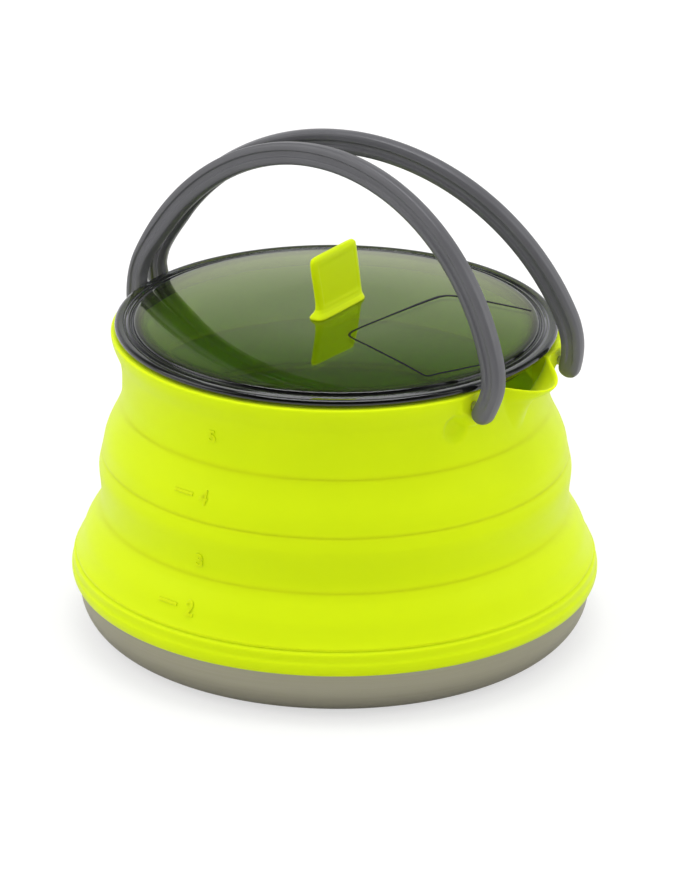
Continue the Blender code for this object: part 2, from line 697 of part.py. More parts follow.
def pull_tab(finish):
    """The soft tab: retaining foot under the lid, stem, small flared foot, and a blade that leans over."""
    lid_bottom = LID_CROWN_Z - LID_WALL - SEAT_GAP
    lid_top = LID_CROWN_Z + SEAT_GAP
    top = LID_CROWN_Z + TAB_HEIGHT
    foot_top = lid_top + TAB_FOOT_HEIGHT
    stem = (TAB_STEM_THICKNESS, TAB_STEM_LENGTH)
    edge = TAB_THICKNESS / 2.0
    levels = [
        (TAB_RETAINER_THICKNESS - edge, TAB_RETAINER_LENGTH - edge, lid_bottom - TAB_RETAINER_HEIGHT),
        (TAB_RETAINER_THICKNESS, TAB_RETAINER_LENGTH, lid_bottom - TAB_RETAINER_HEIGHT / 2.0),
        (TAB_RETAINER_THICKNESS, TAB_RETAINER_LENGTH, lid_bottom),
        (*stem, lid_bottom),
        (*stem, lid_top),
        (TAB_FOOT_THICKNESS, TAB_LENGTH, lid_top),
        (TAB_FOOT_THICKNESS - edge, TAB_LENGTH - edge / 2.0, lid_top + TAB_FOOT_HEIGHT / 3.0),
        (TAB_THICKNESS + edge / 2.0, TAB_LENGTH - edge, foot_top),
        (TAB_THICKNESS, TAB_LENGTH - edge, foot_top + TAB_FOOT_HEIGHT),
        (TAB_THICKNESS, TAB_TOP_LENGTH + edge, top - TAB_CORNER),
        (TAB_THICKNESS - edge / 2.0, TAB_TOP_LENGTH - edge, top - edge / 4.0),
        (TAB_THICKNESS - edge, TAB_TOP_LENGTH - TAB_CORNER, top),
    ]
    sections = []
    for thick, long, z in levels:
        lean = TAB_LEAN * max(0.0, z - lid_top) / (top - lid_top)
        sections.append(rounded_rectangle(thick, long, edge, z, lean))
    return new_object("pull_tab", loft(sections, closed_path=False), finish)


def build():
    """Clear the scene and make every piece of the kettle."""
    for old in list(bpy.data.objects):
        bpy.data.objects.remove(old, do_unlink=True)
    silicone = {}
    for name in ("wall_skirt", "lower_fold_web", "middle_band", "upper_fold_web", "upper_band", "pull_tab"):
        silicone[name] = material(name + "_silicone", (0.60, 0.80, 0.01), 0.55)
    base_pan(material("hard_anodised_aluminium", (0.22, 0.21, 0.16), 0.45, metallic=0.9))
    wall_skirt(silicone["wall_skirt"])
    fold_web(
        "lower_fold_web",
        silicone["lower_fold_web"],
        (SKIRT_TOP_RADIUS, SKIRT_TOP_Z),
        (LOWER_VALLEY_RADIUS, LOWER_VALLEY_Z),
        LOWER_WEB_BULGE,
    )
    middle_band(silicone["middle_band"])
    fold_web(
        "upper_fold_web",
        silicone["upper_fold_web"],
        (MIDDLE_CREST_RADIUS, MIDDLE_CREST_Z),
        (UPPER_VALLEY_RADIUS, UPPER_VALLEY_Z),
        UPPER_WEB_BULGE,
    )
    upper_band(silicone["upper_band"])
    rim_ring(material("rim_ring_nylon", (0.06, 0.06, 0.06), 0.5))
    pivot_pins(material("pivot_pin_steel", (0.5, 0.5, 0.5), 0.3, metallic=1.0))
    bail("front_bail", -1.0, FRONT_BAIL_LEAN, material("front_bail_nylon", (0.10, 0.10, 0.10), 0.45))
    bail("rear_bail", 1.0, REAR_BAIL_LEAN, material("rear_bail_nylon", (0.10, 0.10, 0.10), 0.45))
    lid_disc(material("lid_clear_plastic", (0.20, 0.22, 0.16), 0.08, alpha=0.5))
    pull_tab(silicone["pull_tab"])


build()
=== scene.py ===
# %% [markdown]
# # A collapsible camping kettle
#
# The kettle is an aluminium pan with a silicone wall that folds into itself in two steps, two
# moulded bails that stand up over the lid, and a clear smoky lid with a soft pull tab.
# Every shape below is a surface worked out with numpy: a profile turned about the kettle's axis, or
# a section carried along a line. The imported model gives the frame, and most pieces ride on one of
# its bodies. The two webs of the wall, and the marks on them, are fixed in place.

import bmesh
import bpy
import numpy as np
from mathutils import Matrix, Vector


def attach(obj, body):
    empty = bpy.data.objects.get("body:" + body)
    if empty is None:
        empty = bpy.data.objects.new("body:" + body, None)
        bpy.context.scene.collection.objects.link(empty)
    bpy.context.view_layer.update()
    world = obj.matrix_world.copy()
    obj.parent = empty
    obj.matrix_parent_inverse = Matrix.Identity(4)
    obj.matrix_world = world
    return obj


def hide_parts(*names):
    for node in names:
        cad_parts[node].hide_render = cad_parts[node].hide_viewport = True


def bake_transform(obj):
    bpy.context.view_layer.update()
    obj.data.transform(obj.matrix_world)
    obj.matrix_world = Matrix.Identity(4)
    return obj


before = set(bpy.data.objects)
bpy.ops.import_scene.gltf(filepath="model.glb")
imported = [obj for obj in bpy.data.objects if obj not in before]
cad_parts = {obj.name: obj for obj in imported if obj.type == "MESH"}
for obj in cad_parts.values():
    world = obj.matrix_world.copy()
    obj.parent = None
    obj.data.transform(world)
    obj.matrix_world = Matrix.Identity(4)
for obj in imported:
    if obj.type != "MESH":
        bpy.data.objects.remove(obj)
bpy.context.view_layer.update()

# %% [markdown]
# ## Lengths
#
# Lengths are in millimetres, as a maker thinks, and are turned to metres once, when points become a
# mesh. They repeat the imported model's own measures, so a piece lands on its node.

# %% Lengths of the kettle, in millimetres
MM = 0.001
PAN_RADIUS, PAN_HEIGHT, PAN_CORNER = 74.24, 19.5, 11.0
PAN_WALL, PAN_FLOOR = 1.5, 1.8
SKIRT_BOTTOM, SKIRT_TOP = 14.5, 22.0
LOWER_VALLEY, MIDDLE_CREST, UPPER_VALLEY = 36.3, 52.5, 67.7
WEB_WALL, BAND_WALL = 1.6, 2.4
FLARE_Z, RIM_TOP, RIM_INNER = 80.0, 89.3, 59.2
RING_INNER = 58.9
PIVOT_Z = 85.7
LID_WALL = 2.2
SEAT_GAP = 0.3
print("pan", 2.0 * PAN_RADIUS, "mm across, rim at", RIM_TOP, "mm")

# %% [markdown]
# ## From points to a mesh
#
# A surface is a grid of points: rows along one parameter, columns along the other. Four neighbours
# make one quad. Blender could also spin or sweep a curve, but a grid keeps every ring where it is
# wanted, and the same grid numbers give the UV map.

# %% A mesh from a grid of points
SAME_POINT = 1e-7


def points(*parts):
    """Coordinates side by side. Numbers and arrays are first stretched to one common shape."""
    return np.stack(np.broadcast_arrays(*parts), axis=-1)


def lay_surface(name, grid, wrap_rows=True, wrap_columns=False, capped=False, sharp=40.0):
    """Quads between neighbouring points of a grid (rows, columns, xyz) in millimetres.

    wrap_rows joins the last row to the first, wrap_columns the last column to the first. capped
    closes the first and the last row with one face each. UV runs 0 to 1 along rows (u) and columns
    (v).
    """
    rows, columns = grid.shape[:2]
    number = np.arange(rows * columns).reshape(rows, columns)
    if wrap_rows:
        number = np.vstack([number, number[:1]])
    if wrap_columns:
        number = np.hstack([number, number[:, :1]])
    row, column = np.indices((number.shape[0] - 1, number.shape[1] - 1))
    corners = [(0, 0), (1, 0), (1, 1), (0, 1)]
    quads = np.stack([number[row + a, column + b] for a, b in corners], axis=-1).reshape(-1, 4)
    u = np.stack([(row + a) / (number.shape[0] - 1) for a, b in corners], axis=-1).reshape(-1)
    v = np.stack([(column + b) / (number.shape[1] - 1) for a, b in corners], axis=-1).reshape(-1)
    faces = quads.tolist()
    if capped:
        faces += [number[0, :columns].tolist()[::-1], number[-1, :columns].tolist()]
        u = np.concatenate([u, np.zeros(2 * columns)])
        v = np.concatenate([v, np.zeros(2 * columns)])
    mesh = bpy.data.meshes.new(name)
    mesh.from_pydata((grid.reshape(-1, 3) * MM).tolist(), [], faces)
    layer = mesh.uv_layers.new(name="UVMap")
    layer.data.foreach_set("uv", points(u, v).reshape(-1).astype(np.float32))
    return finish_mesh(name, mesh, sharp)


def finish_mesh(name, mesh, sharp=40.0):
    """Merge doubled points, turn all faces outwards, shade smooth up to the stated edge angle."""
    bm = bmesh.new()
    bm.from_mesh(mesh)
    bmesh.ops.remove_doubles(bm, verts=bm.verts, dist=SAME_POINT)
    bmesh.ops.recalc_face_normals(bm, faces=bm.faces)
    bm.to_mesh(mesh)
    bm.free()
    mesh.shade_smooth()
    mesh.set_sharp_from_angle(angle=np.radians(sharp))
    piece = bpy.data.objects.new(name, mesh)
    bpy.context.scene.collection.objects.link(piece)
    print(name, "-", len(mesh.polygons), "faces")
    return piece


def turn_about_axis(profile, steps=360):
    """Each profile point (radius, height) turned about Z: x = r cos a, y = r sin a, z = height."""
    angle = np.linspace(0.0, 2.0 * np.pi, steps, endpoint=False)[:, None]
    radius, height = np.asarray(profile).T
    return points(radius * np.cos(angle), radius * np.sin(angle), height)


def line_through(stations, where):
    """A smooth line through (height, radius) stations, read at the heights given.

    Between two stations it is the cubic that meets both with the slope of their neighbours.
    """
    z, r = np.asarray(stations, dtype=float).T
    slope = np.gradient(r, z)
    first = np.clip(np.searchsorted(z, where, side="right") - 1, 0, len(z) - 2)
    gap = z[first + 1] - z[first]
    t = np.clip((where - z[first]) / gap, 0.0, 1.0)
    start = (1 + 2 * t) * (1 - t) ** 2 * r[first] + t * (1 - t) ** 2 * gap * slope[first]
    end = t * t * (3 - 2 * t) * r[first + 1] - t * t * (1 - t) * gap * slope[first + 1]
    return start + end


def curve_through(corners, steps=5):
    """A smooth line through any points, in cubic pieces.

    The slope at a point is half the gap between its two neighbours.
    """
    p = np.asarray(corners, dtype=float)
    p = np.concatenate([[2 * p[0] - p[1]], p, [2 * p[-1] - p[-2]]])
    t = np.linspace(0.0, 1.0, steps, endpoint=False)[None, :, None]
    a, b, c, d = p[:-3, None], p[1:-2, None], p[2:-1, None], p[3:, None]
    bent = b + 0.5 * t * (c - a + t * (2 * a - 5 * b + 4 * c - d + t * (3 * (b - c) + d - a)))
    return np.concatenate([bent.reshape(-1, p.shape[1]), p[-2:-1]])


def crowded(low, high, steps, crowd=0.8):
    """Numbers from low to high that lie closer together near both ends."""
    share = np.linspace(0.0, 1.0, steps)
    return low + (high - low) * (share - crowd * np.sin(2.0 * np.pi * share) / (2.0 * np.pi))


def soft_step(value):
    """A ramp from 0 to 1 with level ends: 3 t^2 - 2 t^3."""
    t = np.clip(value, 0.0, 1.0)
    return t * t * (3.0 - 2.0 * t)


# %% [markdown]
# ## Materials: the shared tools
#
# Colours are written as they look on screen and turned to linear light in one place. One small
# function adds a node, so each material below reads as a list of what it is made of. A Mix node has
# sockets of the same name for numbers and for colours, so its colour sockets are called by number.
# Two finishes are shared. Their pattern sizes are in millimetres on the real part.

# %% Colours and nodes
WHITE = (1.0, 1.0, 1.0, 1.0)
COLOUR_A, COLOUR_B, COLOUR_OUT = 6, 7, 2
FIRST_SHADER, SECOND_SHADER = 1, 2


def srgb(code):
    """A hex colour turned to linear: c / 12.92 when dark, else ((c + 0.055) / 1.055) ^ 2.4."""
    value = np.array([int(code[i:i + 2], 16) for i in (1, 3, 5)]) / 255.0
    linear = np.where(value <= 0.04045, value / 12.92, ((value + 0.055) / 1.055) ** 2.4)
    return (*linear.tolist(), 1.0)


def add_node(tree, kind, inputs=None, **settings):
    """Add one node, set its properties, and feed its sockets with values or other outputs."""
    made = tree.nodes.new(kind)
    for name, value in settings.items():
        setattr(made, name, value)
    for socket, value in (inputs or {}).items():
        if isinstance(value, bpy.types.NodeSocket):
            tree.links.new(value, made.inputs[socket])
        else:
            made.inputs[socket].default_value = value
    return made


def new_finish(name, **sockets):
    """A material with one Principled shader whose constant values are set on its own sockets."""
    finish = bpy.data.materials.new(name)
    finish.use_nodes = True
    tree = finish.node_tree
    shader = tree.nodes["Principled BSDF"]
    for socket, value in sockets.items():
        shader.inputs[socket.replace("_", " ")].default_value = value
    return finish, tree, shader


# %% Shared finishes
def moulded_finish(name, colours, cloud, grain, strength, depth, **sockets):
    """A moulded skin: noise of width cloud shifts the colour, noise of width grain is its bump."""
    finish, tree, shader = new_finish(name, **sockets)
    place = add_node(tree, "ShaderNodeTexCoord")
    patches = add_node(tree, "ShaderNodeTexNoise", {
        "Vector": place.outputs["Object"], "Scale": 1.0 / (cloud * MM), "Detail": 3.0})
    tone = add_node(tree, "ShaderNodeMix", {
        0: patches.outputs[0], COLOUR_A: srgb(colours[0]), COLOUR_B: srgb(colours[1])},
        data_type="RGBA")
    tree.links.new(tone.outputs[COLOUR_OUT], shader.inputs["Base Color"])
    pits = add_node(tree, "ShaderNodeTexNoise", {
        "Vector": place.outputs["Object"], "Scale": 1.0 / (grain * MM), "Detail": 2.0})
    bump = add_node(tree, "ShaderNodeBump", {
        "Height": pits.outputs[0], "Strength": strength, "Distance": depth * MM})
    tree.links.new(bump.outputs[0], shader.inputs["Normal"])
    return finish


def wandering_gloss(name, width, detail, low, high, **sockets):
    """A skin whose roughness wanders from low to high with a noise of the stated width."""
    finish, tree, shader = new_finish(name, **sockets)
    place = add_node(tree, "ShaderNodeTexCoord")
    marks = add_node(tree, "ShaderNodeTexNoise", {
        "Vector": place.outputs["Object"], "Scale": 1.0 / (width * MM), "Detail": detail})
    gloss = add_node(tree, "ShaderNodeMapRange", {
        "Value": marks.outputs[0], "To Min": low, "To Max": high})
    tree.links.new(gloss.outputs[0], shader.inputs["Roughness"])
    return finish


# %% [markdown]
# ## Camera
#
# The camera stands where the photograph was taken from: a long lens, 1.3 m away, looking 22 degrees
# down. It was fitted with the kettle's spout pointing right, so the whole stand is then turned about
# the kettle's axis to the side that the photograph shows.

# %% Camera
KETTLE_TURN = np.radians(33.3)
CAMERA_PITCH, CAMERA_YAW, CAMERA_ROLL = np.radians(22.43), np.radians(0.20), np.radians(0.48)
CAMERA_PLACE = (0.0, -1200.0, 547.41)
FOCAL_PIXELS, PHOTO_HEIGHT = 4490.56, 895.0


def place_camera():
    """Look along yaw and pitch, roll about that line, then turn the stand about the axis."""
    level = np.cos(CAMERA_PITCH)
    ahead = np.array([np.sin(CAMERA_YAW) * level, np.cos(CAMERA_YAW) * level, -np.sin(CAMERA_PITCH)])
    right = np.array([np.cos(CAMERA_YAW), -np.sin(CAMERA_YAW), 0.0])
    up = np.cross(right, ahead)
    rolled_right = right * np.cos(CAMERA_ROLL) + up * np.sin(CAMERA_ROLL)
    rolled_up = up * np.cos(CAMERA_ROLL) - right * np.sin(CAMERA_ROLL)
    stand = Matrix.Identity(4)
    for column, axis in enumerate((rolled_right, rolled_up, -ahead, np.array(CAMERA_PLACE) * MM)):
        stand[0][column], stand[1][column], stand[2][column] = axis
    lens = bpy.data.cameras.new("photo_camera")
    lens.sensor_width = lens.sensor_height = 36.0
    lens.lens = FOCAL_PIXELS / PHOTO_HEIGHT * lens.sensor_width
    lens.clip_start, lens.clip_end = 0.05, 50.0
    camera = bpy.data.objects.new("photo_camera", lens)
    camera.matrix_world = Matrix.Rotation(KETTLE_TURN, 4, "Z") @ stand
    bpy.context.scene.collection.objects.link(camera)
    bpy.context.scene.camera = camera
    return camera


camera = place_camera()
print("camera at", [round(value, 3) for value in camera.location])

# %% [markdown]
# ## World
#
# The light is a plain white studio. Matt surfaces get even light from all round. A white room
# mirrored in the lid would hide its colour, so what shines or is clear sees a white sweep instead:
# it fades upwards into a dim room, and fades again from behind the kettle to its front. The camera
# itself sees plain white.

# %% World
FRONT = (np.sin(KETTLE_TURN), -np.cos(KETTLE_TURN), 0.0)
SKY_STRENGTH = 1.0
SWEEP_TOP, SWEEP_FADE, ROOM_DIM = 0.12, 0.50, 0.14
FRONT_START, FRONT_END, BACK_LEVEL, FRONT_LEVEL = -0.2, 0.8, 0.80, 0.12


def sweep_light(tree, direction):
    """What gloss sees: upward share * front share, each a smooth step along the direction."""
    parts = add_node(tree, "ShaderNodeSeparateXYZ", {0: direction})
    upward = add_node(tree, "ShaderNodeMapRange", {
        "Value": parts.outputs["Z"], "From Min": SWEEP_TOP, "From Max": SWEEP_TOP + SWEEP_FADE,
        "To Min": 1.0, "To Max": ROOM_DIM}, interpolation_type="SMOOTHSTEP")
    facing = add_node(tree, "ShaderNodeVectorMath", {
        0: direction, 1: FRONT}, operation="DOT_PRODUCT")
    around = add_node(tree, "ShaderNodeMapRange", {
        "Value": facing.outputs["Value"], "From Min": FRONT_START, "From Max": FRONT_END,
        "To Min": BACK_LEVEL, "To Max": FRONT_LEVEL}, interpolation_type="SMOOTHSTEP")
    return add_node(tree, "ShaderNodeMath", {
        0: upward.outputs[0], 1: around.outputs[0]}, operation="MULTIPLY").outputs[0]


def light_world():
    """Even light for matt surfaces, the sweep for gloss and clear parts, white for the camera."""
    world = bpy.data.worlds.new("white_studio")
    world.use_nodes = True
    tree = world.node_tree
    tree.nodes.clear()
    path = add_node(tree, "ShaderNodeLightPath")
    place = add_node(tree, "ShaderNodeTexCoord")
    glossy, clear = path.outputs["Is Glossy Ray"], path.outputs["Is Transmission Ray"]
    shine = add_node(tree, "ShaderNodeMath", {0: glossy, 1: clear}, operation="MAXIMUM")
    even = add_node(tree, "ShaderNodeBackground", {"Color": WHITE, "Strength": SKY_STRENGTH})
    sweep = sweep_light(tree, place.outputs["Generated"])
    seen = add_node(tree, "ShaderNodeBackground", {"Color": WHITE, "Strength": sweep})
    white = add_node(tree, "ShaderNodeBackground", {"Color": WHITE, "Strength": 1.0})
    mixed = add_node(tree, "ShaderNodeMixShader", {
        0: shine.outputs[0], FIRST_SHADER: even.outputs[0], SECOND_SHADER: seen.outputs[0]})
    final = add_node(tree, "ShaderNodeMixShader", {
        0: path.outputs["Is Camera Ray"], FIRST_SHADER: mixed.outputs[0],
        SECOND_SHADER: white.outputs[0]})
    add_node(tree, "ShaderNodeOutputWorld", {"Surface": final.outputs[0]})
    bpy.context.scene.world = world
    print(world.name, "-", len(tree.nodes), "nodes")


light_world()

# %% [markdown]
# ## Lamps and floor
#
# Three soft lamps model the form: a wide one above, and a weaker one at each side that lifts the
# wall's edges. The floor is white paper. Its shadow stays, but a share of the paper glows for the
# camera alone, so that it runs into the white background without an edge.

# %% Lamps and floor
def soft_lamp(name, place, target, size, watts):
    """A square area lamp, in metres and watts, turned to look at its target."""
    lamp = bpy.data.lights.new(name, "AREA")
    lamp.shape, lamp.size, lamp.energy = "SQUARE", size, watts
    holder = bpy.data.objects.new(name, lamp)
    holder.location = place
    holder.rotation_euler = (Vector(target) - Vector(place)).to_track_quat("-Z", "Y").to_euler()
    bpy.context.scene.collection.objects.link(holder)
    return holder


KETTLE_MIDDLE = (0.0, 0.0, 0.05)
soft_lamp("top_lamp", (-0.1, 0.2, 1.5), KETTLE_MIDDLE, size=1.0, watts=8.2)
soft_lamp("left_lamp", (-0.82, -0.64, 0.80), KETTLE_MIDDLE, size=0.8, watts=2.8)
soft_lamp("right_lamp", (0.92, 0.49, 0.80), KETTLE_MIDDLE, size=0.8, watts=2.2)

FLOOR_RINGS = (0.0, 60.0, 120.0, 200.0, 400.0, 900.0, 2500.0)
FLOOR_DROP, GLOW_SHARE = 0.05, 0.6


def pale_floor():
    """A wide disc of white paper: real paper for every ray, part glow for the camera's own."""
    floor = lay_surface("floor", turn_about_axis(points(FLOOR_RINGS, -FLOOR_DROP), 96))
    paper, tree, shader = new_finish("white_paper", Roughness=0.9)
    path = add_node(tree, "ShaderNodeLightPath")
    tone = add_node(tree, "ShaderNodeMix", {
        0: path.outputs["Is Camera Ray"], COLOUR_A: srgb("#d0d0d0"), COLOUR_B: srgb("#fafafa")},
        data_type="RGBA")
    tree.links.new(tone.outputs[COLOUR_OUT], shader.inputs["Base Color"])
    glow = add_node(tree, "ShaderNodeEmission", {"Color": WHITE, "Strength": 1.0})
    share = add_node(tree, "ShaderNodeMath", {
        0: path.outputs["Is Camera Ray"], 1: GLOW_SHARE}, operation="MULTIPLY")
    both = add_node(tree, "ShaderNodeMixShader", {
        0: share.outputs[0], FIRST_SHADER: shader.outputs[0], SECOND_SHADER: glow.outputs[0]})
    tree.links.new(both.outputs[0], tree.nodes["Material Output"].inputs["Surface"])
    floor.data.materials.append(paper)


pale_floor()

# %% [markdown]
# ## Lime silicone
#
# The wall and the tab are platinum-cured silicone rubber, moulded in a finely blasted steel tool.
# To the eye it is a strong, slightly glowing colour with a satin skin: no sharp highlights, but a
# paler edge where the surface turns away. A little light gets into it and comes out beside.

# %% Silicone finish
# Rubber has IOR 1.41. The blasted skin scatters most of its gloss, so little specular is left, and
# a thin sheen gives the pale edge. Red and green light travel 2 mm inside it, blue hardly. Pigment
# clouds are about 25 mm wide. The grain is about 0.05 mm wide. It is drawn at 0.5 mm, so it shows.
silicone = moulded_finish(
    "moulded_lime_silicone", ("#d3e904", "#cde304"), cloud=25.0, grain=0.5, strength=0.12,
    depth=0.02, Roughness=0.42, IOR=1.41, Specular_IOR_Level=0.12, Sheen_Weight=0.14,
    Sheen_Roughness=0.35, Subsurface_Weight=0.5, Subsurface_Scale=2.0 * MM,
    Subsurface_Radius=(1.0, 1.0, 0.15))
print("finish:", silicone.name)

# %% [markdown]
# ## The folding wall
#
# On the real kettle the wall is one moulding. It is made here as five pieces that meet at its fold
# lines, because each ring of it moves differently: the skirt stays on the pan, the middle band and
# the upper band drop, and the two webs between them turn inside out. Each outer line was read from
# the photograph as heights and radii, and the inner line follows it at the wall's thickness. A
# narrow crease marks the two fold lines that show, and a bead runs round the inside of the wall.

# %% Wall lines
SKIRT_LINE = [(14.5, 75.2), (14.7, 75.7), (15.0, 76.0), (15.6, 76.3), (16.6, 76.55), (17.6, 76.6),
              (18.3, 76.5), (18.8, 76.2), (19.4, 76.08), (20.4, 76.05), (21.2, 75.9), (21.6, 75.6),
              (22.0, 75.4)]
LOWER_WEB_LINE = [(22.0, 75.7), (23.5, 74.7), (26.0, 73.55), (29.0, 72.4), (32.0, 70.7),
                  (34.2, 69.35), (35.4, 68.78), (36.3, 68.4)]
MIDDLE_LINE = [(36.3, 68.4), (37.2, 68.08), (38.4, 67.85), (39.6, 67.77), (41.0, 67.8),
               (43.5, 67.95), (46.0, 68.22), (48.5, 68.3), (51.0, 67.8), (52.5, 67.5)]
UPPER_WEB_LINE = [(52.5, 67.5), (54.0, 67.15), (57.0, 66.55), (60.0, 65.45), (63.0, 63.95),
                  (65.2, 62.92), (66.6, 62.35), (67.7, 62.0)]
UPPER_LINE = [(67.7, 62.0), (68.8, 61.72), (70.4, 61.5), (73.0, 61.4), (76.0, 61.4),
              (79.0, 61.65), (82.0, 62.3), (84.0, 63.1), (86.0, 63.9), (88.0, 64.4), (89.3, 64.5)]
FOLD_CREASES = ((22.0, 0.40, 0.45), (52.5, 0.12, 0.55))
INNER_BEAD, INNER_BEAD_Z, INNER_BEAD_WIDTH = 1.0, 51.6, 0.7
WALL_STEPS = 70


def crease(z):
    """Depth of the fold creases at a height: for each one, depth * exp(-((z - line) / width)^2)."""
    return sum(depth * np.exp(-((z - line) / width) ** 2) for line, depth, width in FOLD_CREASES)


def wall_ring(name, line, wall):
    """Turn one closed ring of the wall: outer line up, every second point of the inner one down."""
    z = crowded(line[0][0], line[-1][0], WALL_STEPS)
    outer = line_through(line, z)
    bead = INNER_BEAD * np.exp(-((z - INNER_BEAD_Z) / INNER_BEAD_WIDTH) ** 2)
    up = points(outer - crease(z), z)
    down = points(outer - wall - bead, z)[::-2]
    piece = lay_surface(name, turn_about_axis(np.concatenate([up, down])), wrap_columns=True)
    piece.data.materials.append(silicone)
    return piece


# %% Skirt, webs and middle band
SKIRT_STEPS = 60
SKIRT_INNER = [(74.1, SKIRT_TOP), (71.24, 19.8), (71.24, 17.6), (72.44, 17.6), (72.44, 19.8),
               (74.54, 19.8), (74.54, 14.5)]


def skirt():
    """The skirt's outline: its bead outside, then the hook that grips the pan's rim from within."""
    z = crowded(SKIRT_BOTTOM, SKIRT_TOP, SKIRT_STEPS)
    outer = points(line_through(SKIRT_LINE, z) - crease(z), z)
    ring = np.concatenate([outer, SKIRT_INNER])
    piece = lay_surface("folding_wall_skirt", turn_about_axis(ring), wrap_columns=True)
    piece.data.materials.append(silicone)
    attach(piece, "base")
    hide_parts("wall_skirt")


skirt()
lower_web = wall_ring("folding_wall_lower_web", LOWER_WEB_LINE, WEB_WALL)
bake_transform(lower_web)
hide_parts("lower_fold_web")
middle = wall_ring("folding_wall_middle_band", MIDDLE_LINE, BAND_WALL)
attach(middle, "middle")
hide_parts("middle_band")
upper_web = wall_ring("folding_wall_upper_web", UPPER_WEB_LINE, WEB_WALL)
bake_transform(upper_web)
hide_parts("upper_fold_web")

# %% [markdown]
# ## Upper band, rim and spout
#
# The top ring carries everything: the flared rim, a small pouring spout pushed out of it, and four
# flat pads where the bails' feet turn, each with a thumb-print dent beside it. It is one surface of
# angle and height. The spout is a bump that starts as a point low on the wall, grows with height and
# fades to its sides.

# %% Feet of the bails
FRONT_FOOT_ANGLE, BACK_FOOT_ANGLE = 18.8, 5.0
FRONT_FOOT_RADIUS, BACK_FOOT_RADIUS = 68.3, 66.6
FOOT_DEPTH, FOOT_TAIL, FOOT_TURN_IN = 6.2, 4.4, 11.0
FOOT_CURL, CURL_START = {-1.0: 2.0, 1.0: 0.3}, 8.0
BAIL_SLIDE = 0.5


def hinge_ends(side):
    """Spout-side and back foot centres of one bail: side -1 is the front bail, +1 the rear one."""
    near, far = np.radians(side * FRONT_FOOT_ANGLE), np.radians(180.0 - side * BACK_FOOT_ANGLE)
    near = np.array([np.cos(near), np.sin(near), 0.0]) * FRONT_FOOT_RADIUS
    far = np.array([np.cos(far), np.sin(far), 0.0]) * BACK_FOOT_RADIUS
    near[2] = far[2] = PIVOT_Z
    slide = BAIL_SLIDE * (near - far) / np.linalg.norm(near - far)
    return near + slide, far + slide


def feet():
    """Centre, outward direction, side of the dent, and inward curl of all four feet."""
    found = []
    for side in (-1.0, 1.0):
        near, far = hinge_ends(side)
        outward = (near - far) / np.linalg.norm(near - far)
        found += [(near, outward, -side, FOOT_CURL[side]), (far, -outward, side, 0.0)]
    return found


print(len(feet()), "feet, pivots at", PIVOT_Z, "mm")

# %% Spout, pads and dents
SPOUT_REACH, SPOUT_DROP, SPOUT_WALL = 8.0, 2.5, 1.3
SPOUT_HALF, SPOUT_FOOT_HALF, SPOUT_FOOT_Z = 12.5, 2.0, 72.0
PAD_RADIUS, PAD_FADE, PAD_PROUD = 5.6, 1.8, 1.1
DENT_DEPTH, DENT_WIDE, DENT_TALL, DENT_DROP, DENT_TURN = 1.7, 4.4, 5.4, 6.2, 5.6
FOOT_SIGHT = 60.0


def spout_shape(angle, z):
    """Share of the spout's reach: height ^ 1.4 times (1 - (angle / half angle)^2) ^ 1.5."""
    rise = np.clip((z - SPOUT_FOOT_Z) / (RIM_TOP - SPOUT_FOOT_Z), 0.0, None)
    half = SPOUT_FOOT_HALF + (SPOUT_HALF - SPOUT_FOOT_HALF) * rise
    return rise ** 1.4 * np.clip(1.0 - (angle / half) ** 2, 0.0, None) ** 1.5


def band_radius(angle, z):
    """Outer radius: wall line plus spout, less a thumb-print dent beside each flat pivot pad.

    A pad is the plane that the foot turns on: radius = distance of the plane / cos(angle to it). A
    foot changes the wall only within FOOT_SIGHT degrees of itself.
    """
    radius = line_through(UPPER_LINE, z) - crease(z) + SPOUT_REACH * spout_shape(angle, z)
    tail = (FOOT_TAIL - FOOT_DEPTH / 2.0) * np.sin(np.radians(FOOT_TURN_IN))
    inner_reach = FOOT_DEPTH / 2.0 + tail + SEAT_GAP
    for foot, outward, turn, curl in feet():
        away = (angle - np.degrees(np.arctan2(foot[1], foot[0])) + 180.0) % 360.0 - 180.0
        along = np.radians(away) * radius
        dent_along = np.radians(away + turn * DENT_TURN) * radius
        spread = (dent_along / DENT_WIDE) ** 2 + ((z - PIVOT_Z + DENT_DROP) / DENT_TALL) ** 2
        radius = radius - DENT_DEPTH * soft_step(1.0 - spread)
        facing = np.cos(np.radians(angle)) * outward[0] + np.sin(np.radians(angle)) * outward[1]
        close = np.abs(away) < FOOT_SIGHT
        pad = (foot @ outward - inner_reach - curl) / np.where(close, facing, 1.0)
        pad = np.minimum(pad, radius + PAD_PROUD)
        reach = np.hypot(along, z - PIVOT_Z)
        weight = soft_step((PAD_RADIUS + PAD_FADE - reach) / PAD_FADE)
        radius = np.where(close, radius + (pad - radius) * weight, radius)
    return radius


# %% Upper band
BAND_TURNS, BAND_STEPS, BAND_CROWD, SPOUT_CROWD = 480, 84, 0.7, 0.55
MOUTH_HALF, MOUTH_FADE = 13.4, 1.2
RIM_ROUND = 0.55
RING_COVER = RING_INNER - 0.15
INNER_BAND_LINE = [
    (RIM_TOP, RIM_INNER + RIM_ROUND), (RIM_TOP - 0.1, RIM_INNER + 0.3),
    (RIM_TOP - 0.3, RIM_INNER + 0.1), (RIM_TOP - RIM_ROUND, RIM_INNER), (88.6, RIM_INNER),
    *[(z, RING_COVER) for z in (88.6, 88.0, 87.0, 86.0, 85.0, 84.0, 83.0, 82.0)],
    *[(z, 59.0) for z in (82.0, 81.0, 80.0, 79.0, 78.0, 77.0, 76.0, 74.0)],
    (72.0, 59.1), (70.0, 59.2), (69.4, 58.9), (68.9, 58.3), (68.4, 58.3), (67.9, 58.9),
    (UPPER_VALLEY, 59.5)]


